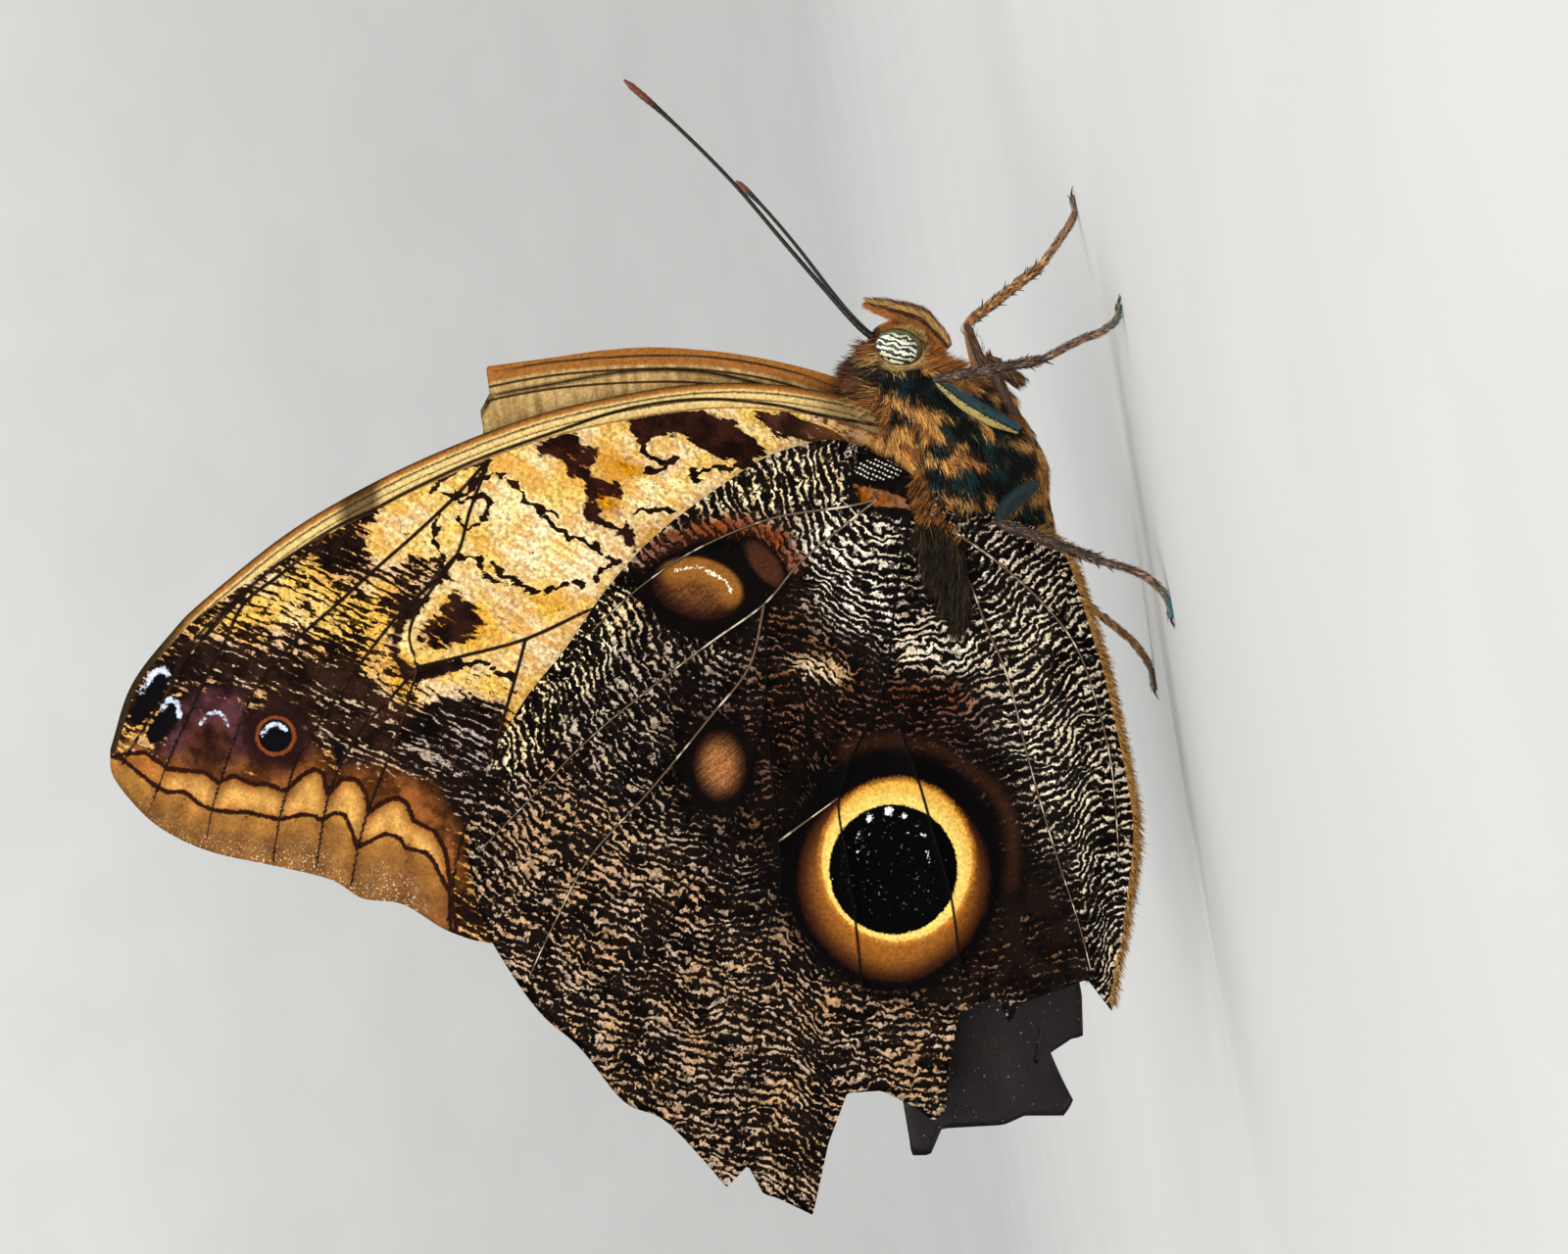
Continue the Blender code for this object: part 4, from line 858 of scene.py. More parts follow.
def new_look(name, **constants):
    """A material with one Principled shader; constants are set on its own sockets."""
    look = bpy.data.materials.new(name)
    look.use_nodes = True
    tree = look.node_tree
    tree.nodes.clear()
    nodes = Nodes(tree)
    shader = nodes.add("ShaderNodeBsdfPrincipled", constants)
    nodes.add("ShaderNodeOutputMaterial", {"Surface": shader.outputs[0]})
    return look, nodes, shader


def new_group(name, inputs, outputs):
    """A node group with named inputs and outputs."""
    tree = bpy.data.node_groups.new(name, "ShaderNodeTree")
    for word, kind, value in inputs:
        socket = tree.interface.new_socket(word, in_out="INPUT", socket_type="NodeSocket" + kind)
        if value is not None:
            socket.default_value = value
    for word, kind in outputs:
        tree.interface.new_socket(word, in_out="OUTPUT", socket_type="NodeSocket" + kind)
    nodes = Nodes(tree)
    return tree, nodes, nodes.add("NodeGroupInput").outputs, nodes.add("NodeGroupOutput").inputs


def scale_grain():
    """Group: the fine random grain of wing scales, as jitter about zero and a height, and a glint: a random value for
    each scale cell.
    """
    tree, n, given, out = new_group("scale grain", [("Place", "Vector", None), ("Size", "Float", 0.2)],
                                    [("Jitter", "Float"), ("Height", "Float"), ("Glint", "Float")])
    scale = n.math("DIVIDE", 1.0, given["Size"])
    fine = n.noise(given["Place"], scale, 1.5, 0.6)
    coarse = n.noise(given["Place"], n.times(scale, 0.28), 2.0, 0.5)
    sum_ = n.plus(n.times(fine, 0.62), n.times(coarse, 0.38))
    n.feed(out["Jitter"], n.minus(sum_, 0.5))
    n.feed(out["Height"], fine)
    cells = n.add("ShaderNodeTexVoronoi", {"Vector": given["Place"], "Scale": scale})
    n.feed(out["Glint"], cells.outputs["Color"])
    return tree


def ripple():
    """Group: ragged crosswise stripes. A cosine of the length along the veins, warped and broken by noise,
    against a share; brown marks the borders of the pale stripes."""
    tree, n, given, out = new_group(
        "ripple", [("Place", "Vector", None), ("Along", "Float", 0.0), ("Pitch", "Float", 0.6), ("Share", "Float", 0.5),
                   ("Warp", "Float", 0.5), ("Jitter", "Float", 0.0), ("Broken", "Float", 1.0)],
        [("Pale", "Float"), ("Brown", "Float")])
    slow = n.minus(n.noise(given["Place"], 0.3, 1.0), 0.5)
    quick = n.minus(n.noise(given["Place"], 1.2, 3.0, 0.6), 0.5)
    warp = n.plus(n.times(slow, 2.6), n.times(quick, 2.1))
    moved = n.times_plus(warp, given["Warp"], given["Along"])
    turns = n.math("DIVIDE", moved, given["Pitch"])
    flip = n.step(n.noise(given["Place"], 0.42, 1.0), 0.46, 0.54, 0.0, 0.5)
    turns = n.plus(turns, flip)
    wave = n.cosine(n.times(turns, 2 * math.pi))
    wave = n.times_plus(wave, 0.5, 0.5)
    blotch = n.minus(n.noise(given["Place"], 0.55, 2.0, 0.5), 0.5)
    gaps = n.minus(n.noise(given["Place"], 2.7, 2.0, 0.6), 0.5)
    rough = n.plus(n.times(blotch, 1.5), n.times(gaps, 1.9))
    level = n.times_plus(rough, given["Broken"], wave)
    level = n.times_plus(given["Jitter"], 1.6, level)
    edge = n.times_plus(given["Share"], -1.98, 1.65)
    n.feed(out["Pale"], n.step(n.minus(level, edge), -0.07, 0.07))
    n.feed(out["Brown"], n.step(n.minus(level, edge), -0.42, -0.05))
    return tree


def use_group(nodes, tree, **values):
    node = nodes.add("ShaderNodeGroup", node_tree=tree)
    for key, value in values.items():
        nodes.feed(node.inputs[key], value)
    return node.outputs


def wing_ground(n, pitch, warp, broken, grain, stripes, across=None):
    """Scales common to both outer wing faces: the grain and the striped ground colour.

    The stripes lie across the veins, or across a direction in millimetres where one is given, and
    are then drawn out along themselves.
    """
    place = n.place_mm((1.0, 0.15, 1.0))
    g = use_group(n, grain, Place=place, Size=0.2)
    n.jitter = g["Jitter"]
    along, vein, edge = n.field("flow")
    share = n.amount("share")
    high = n.add("ShaderNodeSeparateXYZ", {0: n.place_mm()}).outputs[2]
    torn = n.times(n.step(along, 12.0, 30.0, 0.0, 0.75), n.step(high, 13.0, 23.0))
    torn = n.times(n.times_plus(torn, broken, broken), n.step(share, 0.9, 0.7, 0.6, 1.0))
    course, where = along, place
    if across:
        where = n.place_turned(122, (0.42, 0.15, 1.1))
        course = n.add("ShaderNodeVectorMath", {0: place, 1: across}, operation="DOT_PRODUCT").outputs["Value"]
    mask = use_group(n, stripes, Place=where, Along=course, Pitch=pitch, Share=share, Warp=warp, Jitter=n.jitter,
                     Broken=torn)
    tone = n.noise(place, 2.4, 3.0)
    warm = n.noise(place, 0.28, 3.0)
    light = n.tint(n.shade("pale_colour"), n.step(tone, 0.34, 0.6, 0.5, 1.1), n.step(warm, 0.38, 0.62, 0.78, 1.1))
    dark = n.tint(n.shade("dark_colour"), n.step(n.noise(place, 0.6, 2.0), 0.35, 0.65, 0.3, 1.3))
    brown = n.tint(n.mix(0.3, n.shade("dark_colour"), n.shade("pale_colour")), 0.5, 1.3)
    ground = n.mix(n.times(mask["Brown"], 0.55), dark, brown)
    ground = n.mix(mask["Pale"], ground, light)
    return place, g, vein, edge, ground


def finish_scales(n, shader, ground, g, roughness):
    """Grain in the colour, each scale lighter or darker by its glint, partly random tone and partly painted glint; the
    relief and the gloss.
    """
    glint = n.add("ShaderNodeSeparateColor", {0: g["Glint"]}).outputs[0]
    # Painted glint with random tone: each scale cell's colour is made lighter or darker by its glint value.
    value = n.step(glint, 0.0, 1.0, 0.74, 1.22)
    n.feed(shader.inputs["Base Color"], n.tint(ground, value))
    n.feed(shader.inputs["Roughness"], n.step(glint, 0.0, 1.0, roughness - 0.12, roughness + 0.1))
    n.feed(shader.inputs["Normal"], n.bump(g["Height"], 0.35, 0.00008))


def fore_outer_look(grain, stripes):
    look, n, shader = new_look("forewing_outer_scales", **{"Specular IOR Level": 0.02})
    place, g, vein, costa, ground = wing_ground(n, 0.8, 0.85, 0.68, grain, stripes, (0.82, 0.0, -0.57))
    # diagonal yellow streaks over the pale field
    streak = n.noise(n.place_turned(130, (0.3, 1.0, 1.5)), 1.0, 3.0, 0.65)
    share = n.amount("share")
    full = n.step(share, 0.86, 0.99)
    ground = n.mix(n.times(full, n.step(streak, 0.47, 0.6, 0.0, 0.7)), ground, (206, 146, 62))
    ground = n.mix(n.times(full, n.step(streak, 0.42, 0.34, 0.0, 0.5)), ground, (250, 226, 178))
    specks = n.step(n.noise(place, 4.6, 2.0, 0.7), 0.66, 0.7)
    near = n.step(n.noise(place, 0.35, 2.0), 0.5, 0.68)
    ground = n.mix(n.times(specks, near), ground, (96, 54, 26))
    inner, middle, crescent = n.field("marks")
    black, eye, u = n.field("spots")
    # marginal bands: tan lobes between two dark scalloped lines, and the outer band
    cloud = n.noise(place, 0.7, 3.0)
    fold = n.math("MINIMUM", n.amount("fold"), n.times_plus(vein, 0.8, 0.0))
    lobes = n.wash((140, 84, 34), (212, 158, 82), inner, 0.0, 1.3)
    lobes = n.wash(lobes, (158, 94, 40), inner, 1.4, 2.8)
    lobes = n.wash(lobes, (116, 64, 30), fold, 0.9, 0.1, 0.0, 0.55)
    lobes = n.wash(lobes, (160, 96, 42), u, -59.5, -62.5)
    margin = n.wash((176, 122, 56), (134, 92, 46), middle, 0.0, 2.4)
    margin = n.wash(margin, (110, 66, 34), fold, 1.1, 0.1, 0.0, 0.55)
    margin = n.wash(margin, (104, 56, 34), u, -45.0, -30.0)
    speck = n.times(n.step(n.noise(place, 5.5, 1.0), 0.62, 0.66), n.step(middle, 1.4, 3.6, 0.0, 0.8))
    margin = n.mix(speck, margin, (232, 216, 190))
    bands = n.tint(n.lay(margin, lobes, middle, 0.05, 0.4), n.step(cloud, 0.3, 0.7, 0.75, 1.15))
    ground = n.lay(bands, ground, inner, 0.05, 0.4)
    for line, wide in ((inner, 0.21), (middle, 0.19)):
        gap = n.minus(n.math("ABSOLUTE", line), wide)
        ground = n.lay(ground, (40, 17, 10), gap, 0.06, 0.5)
    ground = n.wash(ground, (44, 22, 13), fold, 0.16, 0.05, 0.0, 0.85)
    ground = n.wash(ground, (112, 68, 32), u, -8.0, -1.5, 0.0, 0.75)
    # round eyespot and the two black ones of the tip
    ground = n.lay(ground, (34, 16, 15), eye, 0.7, 0.9, 1.5)
    ground = n.lay(ground, (122, 62, 30), eye, 0.1, 0.5, 0.72)
    ground = n.lay(ground, (10, 8, 12), eye, 0.06, 0.3, 0.42)
    ground = n.lay(ground, (9, 7, 10), black, 0.08, 0.5)
    ground = n.lay(ground, (198, 210, 232), crescent, 0.07, 0.7, -0.12)
    # leading edge: orange-brown rim, then cream between fine dark lines
    rim = n.add("ShaderNodeValToRGB", {0: n.times_plus(n.jitter, 0.1, n.times(costa, 0.3))})
    stops = [(0.0, (50, 30, 14)), (0.05, (116, 72, 30)), (0.14, (170, 116, 54)), (0.2, (226, 190, 124)),
             (0.235, (20, 11, 7)), (0.30, (226, 196, 130)), (0.40, (214, 180, 112)), (0.425, (40, 24, 14)),
             (0.46, (222, 192, 128)), (0.60, (206, 172, 108)), (0.64, (120, 84, 46)), (0.70, (222, 190, 124))]
    elements = rim.color_ramp.elements
    while len(elements) < len(stops):
        elements.new(0.5)
    for element, (at, shade) in zip(elements, stops):
        element.position = at
        element.color = (*colour(*shade), 1.0)
    outer_part = n.step(u, -56.0, -62.0)
    rim_colour = n.mix(outer_part, rim.outputs[0], (52, 38, 24))
    rim_colour = n.wash(rim_colour, (50, 30, 16), u, -9.0, -3.0, 0.0, 0.75)
    patch = n.times(n.step(u, -46.8, -45.4), n.step(u, -42.0, -43.4, 0.0, 0.85))
    rim_colour = n.mix(patch, rim_colour, (44, 24, 14))
    width = n.step(u, -42.0, -63.0, 2.2, 0.55)
    ground = n.lay(ground, rim_colour, n.minus(costa, width), 0.06, 0.4)
    ground = n.wash(ground, (22, 11, 7), vein, 0.1, 0.22, 0.9, 0.0)
    finish_scales(n, shader, ground, g, 0.55)
    return look


def hind_outer_look(grain, stripes):
    look, n, shader = new_look("hindwing_outer_scales", **{"Specular IOR Level": 0.02})
    place, g, vein, edge, ground = wing_ground(n, 0.78, 0.68, 0.76, grain, stripes)
    pupil, yellow, amber = n.field("marks")
    surround, upper, arc = n.field("spots")
    crescent, lower, outer_arc = n.field("more")
    # black lens of the shoulder with its rows of white dots
    run, rise, lens = n.field("shoulder")
    stray = n.noise(place, 2.0, 2.0)
    rows = n.cosine(n.times_plus(stray, 5.0, n.times(rise, 15.0)))
    beads = n.cosine(n.times_plus(stray, 9.0, n.times(run, 19.0)))
    dots = n.times(n.step(rows, 0.3, 0.7), n.step(beads, -0.4, 0.3))
    ground = n.lay(ground, (8, 5, 4), lens, 0.08, 0.5)
    ground = n.mix(n.times(dots, n.step(lens, -0.15, -0.3)), ground, (214, 204, 188))
    # upper and lower small eyespots
    ground = n.lay(ground, (8, 5, 4), surround, 0.4, 0.9)
    ground = n.lay(ground, (8, 5, 4), crescent, 0.3, 0.8, 0.55)
    ground = n.lay(ground, (66, 36, 22), crescent, 0.4, 1.0, -0.1)
    rows = n.noise(n.place_turned(60, (0.6, 1.0, 7.0)), 1.0, 1.0)
    shade = n.wash((94, 56, 29), (36, 16, 9), upper, -2.2, -0.1)
    dust = n.step(n.noise(place, 5.0, 2.0), 0.35, 0.65, 0.72, 1.3)
    shade = n.tint(shade, n.times(dust, n.step(rows, 0.35, 0.65, 0.75, 1.2)))
    ground = n.lay(ground, shade, upper, 0.12, 0.5)
    glow = n.wash(ground, (142, 90, 36), arc, 1.5, 0.0)
    ground = n.wash(ground, glow, upper, 0.0, -0.4)
    ground = n.lay(ground, (252, 238, 206), arc, 0.05, 0.8, -0.2)
    ground = n.lay(ground, (8, 5, 4), lower, 0.5, 1.0, 1.15)
    shade = n.wash((146, 94, 54), (36, 17, 10), lower, -2.0, 0.0)
    shade = n.tint(shade, n.times(dust, n.step(rows, 0.35, 0.65, 0.7, 1.25)))
    ground = n.lay(ground, shade, lower, 0.15, 0.6)
    # great eyespot, from the outside in
    faint = n.minus(outer_arc, 0.55)
    ground = n.lay(ground, (46, 24, 14), faint, 0.7, 1.8)
    ground = n.mix(n.times(n.step(surround, 1.4, -0.8), n.step(upper, 4.0, 6.0)), ground, (4, 3, 3))
    ring = n.wash((146, 88, 32), (52, 24, 11), amber, -2.4, -0.1)
    ground = n.lay(ground, ring, amber, 0.3, 0.9)
    ground = n.lay(ground, (192, 124, 44), yellow, 0.35, 0.9, 0.25)
    gold = n.wash((240, 202, 108), (220, 168, 72), pupil, 0.1, 1.6)
    ground = n.lay(ground, gold, yellow, 0.12, 0.7)
    ground = n.lay(ground, (1, 1, 1), pupil, 0.07, 0.5)
    flecks = n.step(n.noise(place, 3.4, 2.0), 0.69, 0.72)
    inside = n.step(pupil, -0.6, -1.2)
    ground = n.mix(n.times(flecks, n.times(inside, 0.3)), ground, (150, 160, 172))
    ground = n.lay(ground, (240, 244, 250), n.amount("sparks"), 0.05, 1.1, -0.07)
    ground = n.wash(ground, (8, 5, 4), vein, 0.08, 0.2, 0.85, 0.0)
    finish_scales(n, shader, ground, g, 0.55)
    return look


def fore_inner_look(grain):
    """The upper side of a forewing: tan and olive along the leading edge, darker outwards."""
    look, n, shader = new_look("forewing_inner_scales", **{"Specular IOR Level": 0.02})
    place = n.place_mm((1.0, 0.15, 1.0))
    g = use_group(n, grain, Place=place, Size=0.2)
    n.jitter = g["Jitter"]
    along, vein, costa = n.field("flow")
    streak = n.noise(n.place_mm((0.12, 0.12, 0.9)), 1.6, 3.0)
    tan = n.wash((150, 118, 72), (196, 164, 106), streak, 0.3, 0.7)
    ground = n.wash(tan, (66, 46, 32), along, 30.0, 62.0)
    ground = n.lay(ground, (150, 96, 44), costa, 0.12, 0.5, 0.75)
    lines = n.cosine(n.times(costa, 5.6))
    near = n.step(costa, 3.4, 2.4)
    ground = n.mix(n.times(n.step(lines, 0.7, 0.95), near), ground, (62, 42, 24))
    ground = n.wash(ground, (58, 38, 24), vein, 0.1, 0.35, 0.7, 0.0)
    finish_scales(n, shader, ground, g, 0.5)
    return look


def hind_inner_look(grain):
    """The upper side of a hindwing: blackish brown with a blue sheen and a few pale flecks."""
    look, n, shader = new_look("hindwing_inner_scales", **{"Specular IOR Level": 0.15})
    place = n.place_mm((1.0, 0.15, 1.0))
    g = use_group(n, grain, Place=place, Size=0.2)
    n.jitter = g["Jitter"]
    along, vein, edge = n.field("flow")
    cloud = n.noise(place, 0.22, 3.0)
    ground = n.wash((18, 11, 10), (24, 16, 22), cloud, 0.35, 0.65)
    ground = n.wash(ground, (52, 50, 84), along, 34.0, 12.0)
    flecks = n.step(n.noise(place, 2.6, 2.0), 0.72, 0.75)
    ground = n.mix(n.times(flecks, 0.5), ground, (190, 184, 176))
    finish_scales(n, shader, ground, g, 0.5)
    return look


def vein_look(name, dark, bright):
    look, n, shader = new_look(name, **{"Specular IOR Level": 0.05})
    streak = n.noise(n.place_mm(), 0.7, 2.0)
    n.feed(shader.inputs["Base Color"], n.mix(n.step(streak, 0.52, 0.66), dark, bright))
    n.feed(shader.inputs["Roughness"], n.step(streak, 0.3, 0.7, 0.3, 0.5))
    n.feed(shader.inputs["Normal"], n.bump(n.noise(n.place_mm(), 3.0, 2.0), 0.3, 0.0001))
    return look


# ---- body: one skin under the coat ----
# v along the body, back limit u, belly limit u, half width, depth of coat over the skin
BODY_ROWS = [
    (12.75, 1.4, 1.4, 0.0, 0.2), (12.3, -0.3, 3.1, 1.6, 0.25), (11.3, -1.2, 3.95, 2.45, 0.3),
    (10.35, -1.5, 4.15, 2.68, 0.3), (9.5, -1.9, 4.4, 2.5, 0.35), (8.7, -2.5, 5.8, 2.45, 0.4),
    (7.8, -2.8, 9.2, 3.1, 0.45), (6.4, -2.9, 11.3, 4.0, 0.5), (5.0, -3.0, 12.0, 4.5, 0.5),
    (2.9, -2.7, 13.2, 4.9, 0.5), (0.3, -2.2, 14.3, 5.0, 0.5), (-2.5, -1.3, 14.5, 4.8, 0.5),
    (-5.0, 0.4, 14.9, 4.3, 0.45), (-7.1, 3.8, 14.5, 3.5, 0.4), (-8.6, 7.2, 14.7, 2.75, 0.3),
    (-10.2, 9.6, 15.6, 2.75, 0.2), (-13.4, 10.8, 17.0, 3.05, 0.2), (-18.4, 12.3, 18.5, 3.1, 0.2),
    (-22.5, 13.7, 19.3, 2.8, 0.2), (-25.9, 15.2, 19.4, 2.1, 0.2), (-28.4, 16.8, 19.0, 1.1, 0.2),
    (-29.6, 18.0, 18.0, 0.0, 0.1)]
EYE_CENTRE = (1.4, 10.35, 2.2)
EYE_RADII = (2.05, 1.56, 1.4)
HEAD_TILT = math.radians(12.0)


def body_surface(t, angle, depth=1.0):
    """Body points in plane millimetres: an oval about each row, t along the rows and angle round them.

    Half the depth times the cosine from the row's middle, half the width times the sine; both
    are drawn in by the coat's depth, and on the abdomen pinched a little at each joint.
    """
    table = spline(BODY_ROWS, 400)
    at = np.linspace(0, 1, 400)
    v, back, belly, wide, coat = (np.interp(t, at, table[:, k]) for k in range(5))
    end = np.clip(np.minimum(t, 1 - t) * 60, 0, 1)
    joint = np.clip(-v - 9.0, 0, 1) * 0.16 * np.clip(np.cos(2 * math.pi * (v + 5.6) / 3.0), 0, 1) ** 4
    draw = (coat * depth + joint) * end
    half = np.maximum((belly - back) / 2 - draw, 0.0)
    side = np.maximum(wide - draw, 0.0)
    return np.stack([(back + belly) / 2 + half * np.cos(angle), v, side * np.sin(angle)], axis=-1)


def body_grid(rows, columns):
    """Points of the body skin in plane millimetres, as rows of rings from head to tail."""
    t = (np.arange(rows) + 0.5) / rows
    angle = np.arange(columns) / columns * 2 * math.pi
    return body_surface(t[:, None] * np.ones(columns)[None], np.ones(rows)[:, None] * angle[None])


# dark patches of the thorax: middle, half length, half height, tilt in degrees
DARK_PATCHES = [
    ((2, 7.7), 3.4, 1.3, -14), ((4.8, 6.2), 2.6, 1.0, -25), ((6.3, 3.8), 1.3, 1.0, 20), ((8.9, 2.1), 1.9, 1.1, -20),
    ((4.3, 2.1), 1.3, 0.5, 0), ((7, -0.9), 1.9, 1.2, -15), ((3.6, -0.7), 1.5, 1.4, 0), ((9.9, -0.7), 1.5, 1.6, 0),
    ((8.9, 4.9), 2.0, 0.9, -35), ((5.8, -3.2), 1.5, 0.6, 10), ((11.6, 0.8), 1.1, 1.0, 0), ((2, -2.8), 1.0, 0.5, 20),
    ((12.1, -3.5), 1.4, 1.0, 0), ((8.8, -3.5), 1.2, 0.8, 0), ((0.9, 4.8), 1.0, 0.5, 0), ((10.4, 3.6), 0.9, 0.7, 0),
]


def blend(below, above, share):
    """From one colour to another by a share for each point; a plain tuple is a screen colour."""
    below, above = (colour(*shade) if isinstance(shade, tuple) else shade for shade in (below, above))
    return below + (above - below) * share[:, None]


def body_shade(p):
    """Colour of the body and its coat at plane points: orange-tan hair round teal-black patches."""
    u, v, y = p[:, 0], p[:, 1], p[:, 2]
    fine = waves(p, 1.0, 62)
    shade = blend((248, 188, 104), (176, 106, 48), smoothstep(-0.5, 0.5, waves(p, 1.9, 63) + 0.6 * fine))
    shade = blend(shade, (62, 46, 34), smoothstep(0.15, 0.55, waves(p, 1.5, 66) + 0.3 * fine))
    dark = np.full(len(p), -9.0)
    flat = p[:, :2] + 0.3 * np.stack([waves(p, 1.6, 67), waves(p, 1.6, 68)], axis=1)
    for centre, long, high, tilt in DARK_PATCHES:
        dark = np.maximum(dark, -oval_distance(flat, centre, (long, high), tilt))
    teal = blend((10, 13, 12), (26, 56, 56), smoothstep(-0.1, 0.7, waves(p, 1.3, 64)))
    shade = blend(shade, teal, smoothstep(-0.4, 0.05, dark + 0.2 * fine))
    grey = blend((214, 180, 132), (92, 72, 50), smoothstep(-0.4, 0.4, waves(p, 2.2, 69) + 0.5 * fine))
    lower = smoothstep(-4.0, -7.5, v + 0.25 * (u - 8)) * smoothstep(5.0, 9.0, u)
    shade = blend(shade, grey, np.maximum(lower, smoothstep(-8.0, -11.0, v)))
    shade = blend(shade, (196, 162, 116), smoothstep(11.5, 15.0, u + 0.5 * v) * smoothstep(-8.0, -12.0, v) * 0.8)
    face = blend((242, 180, 94), (200, 114, 46), smoothstep(-0.5, 0.4, waves(p, 1.2, 65)))
    shade = blend(shade, face, smoothstep(8.4, 9.2, v) * smoothstep(-1.2, 0.6, u))
    eye = np.hypot((u - EYE_CENTRE[0]) / 1.5, v - EYE_CENTRE[1])
    ring = smoothstep(2.15, 1.75, eye) * (np.abs(y) > 0.9)
    shade = blend(shade, (228, 190, 120), ring * smoothstep(-0.5, 0.6, u - 0.4 * (v - 10.3)))
    nape = smoothstep(0.0, -1.6, u - 0.25 * (v - 8.0)) * smoothstep(5.2, 7.0, v)
    ruff = blend((58, 34, 22), (158, 88, 40), smoothstep(-0.2, 0.6, waves(p, 1.5, 70)))
    return blend(shade, ruff, nape)


def make_body_skin(look):
    rows, columns = 190, 88
    p = body_grid(rows, columns)
    ends = np.array([(1.4, 12.74, 0.0), (18.0, -29.58, 0.0)])
    flat = np.vstack([p.reshape(-1, 3), ends])
    points = place(flat[:, 0], flat[:, 1], flat[:, 2])
    total = rows * columns
    item = new_mesh("body_skin", points, closed_faces(points, rows, columns), [look])
    store(item, "coat_colour", body_shade(flat))
    row, column = np.divmod(np.arange(total), columns)
    flat_map = np.vstack([np.stack([column / columns, (row + 0.5) / rows], axis=1), [(0.5, 0.0), (0.5, 1.0)]])
    store_map(item, flat_map)
    return item


# ---- coat ----
# Share of a tuft's length and of its width, from root to tip
TUFT_PROFILE = ((0.0, 0.8), (0.35, 1.0), (0.7, 0.62), (1.0, 0.0))


def scatter(count, seed, weight):
    """Random places on the body, even over its area times a weight of the plane point.

    Returns plane points, outward normals and the unwrapped place of each.
    """
    rng = np.random.default_rng(seed)
    rows, columns = 240, 120
    p = body_grid(rows, columns)
    closed = np.concatenate([p, p[:, :1]], axis=1)
    a, b = closed[:-1, 1:] - closed[:-1, :-1], closed[1:, :-1] - closed[:-1, :-1]
    area = np.linalg.norm(np.cross(a, b), axis=-1)
    chance = (area * weight(closed[:-1, :-1].reshape(-1, 3)).reshape(area.shape)).ravel()
    pick = rng.choice(len(chance), size=count, p=chance / chance.sum())
    row, column = np.divmod(pick, columns)
    s, r = rng.random(count), rng.random(count)
    t = (row + 0.5 + s) / rows
    angle = (column + r) / columns * 2 * math.pi
    at = body_surface(t, angle)
    step = body_surface(t, angle + 0.01) - at
    fall = body_surface(np.clip(t + 0.003, 0, 1), angle) - at
    normal = unit(np.cross(step, fall))
    middle = body_surface(t, angle + math.pi)
    normal *= np.sign(np.einsum("ij,ij->i", normal, at - middle))[:, None]
    return at, normal, np.stack([angle / (2 * math.pi), t], axis=1)


def tufts(name, roots, normals, lies, length, width, lift, shades, look, unwrapped, seed, curl=0.25, sink=0.15,
          plane=True, tip=1.12):
    """Hair tufts as closed curved cones of three sides, one for each root, in plane millimetres.

    Each runs along its lie, raised by the lift and bending back to the skin by the square of
    the distance along it; the radius shrinks from the root to a point at the tip.
    """
    rng = np.random.default_rng(seed)
    count = len(roots)
    lies = unit(lies - np.einsum("ij,ij->i", lies, normals)[:, None] * normals)
    across = np.cross(normals, lies)
    turn = rng.normal(0, 0.16, count)[:, None]
    lies = unit(lies + across * turn)
    across = np.cross(normals, lies)
    length = np.broadcast_to(length, (count,)) * rng.uniform(0.7, 1.25, count)
    width = np.broadcast_to(width, (count,)) * rng.uniform(0.75, 1.3, count)
    lift = np.broadcast_to(lift, (count,)) * rng.uniform(0.6, 1.4, count)
    bend = rng.normal(0, 0.12, count)
    rings = []
    corner = np.arange(3) / 3 * 2 * math.pi + 0.5
    for t, r in TUFT_PROFILE:
        centre = (roots - normals * sink + lies * (length * t)[:, None]
                  + normals * (length * (np.sin(lift) * t - curl * np.sin(lift) * t * t * 1.6))[:, None]
                  + across * (length * bend * t * t)[:, None])
        if r:
            ring = (across[:, None] * np.cos(corner)[None, :, None]
                    + normals[:, None] * 0.7 * np.sin(corner)[None, :, None])
            rings.append(centre[:, None] + ring * (width / 2 * r)[:, None, None])
        else:
            rings.append(centre[:, None])
    p = np.concatenate(rings, axis=1)
    base = np.arange(count)[:, None, None] * 10
    quad = np.array([(i * 3 + j, i * 3 + (j + 1) % 3, i * 3 + 3 + (j + 1) % 3, i * 3 + 3 + j)
                     for i in range(2) for j in range(3)])
    tri = np.array([(6 + j, 6 + (j + 1) % 3, 9) for j in range(3)] + [(2, 1, 0)])
    points = p.reshape(-1, 3)
    points = place(points[:, 0], points[:, 1], points[:, 2]) if plane else points * MM
    one = outward_faces(points[:10], [quad, tri])
    blocks = [(block[None] + base).reshape(-1, block.shape[1]) for block in one]
    item = new_mesh(name, points, blocks, [look])
    tone = rng.uniform(0.5, 1.4, count)[:, None] * shades
    along = np.array([0.0] * 3 + [0.35] * 3 + [0.7] * 3 + [1.0])
    full = tone[:, None] * (0.62 + (tip - 0.62) * along)[None, :, None]
    store(item, "coat_colour", full.reshape(-1, 3))
    corner_map = np.array([(0, 0), (1, 0), (0.5, 0.2), (0.1, 0.4), (0.9, 0.4), (0.5, 0.5), (0.2, 0.7), (0.8, 0.7),
                           (0.5, 0.8), (0.5, 1.0)]) * 0.003
    patch = np.clip(unwrapped, 0.002, 0.996)[:, None] + corner_map[None]
    store_map(item, patch.reshape(-1, 2))
    return item


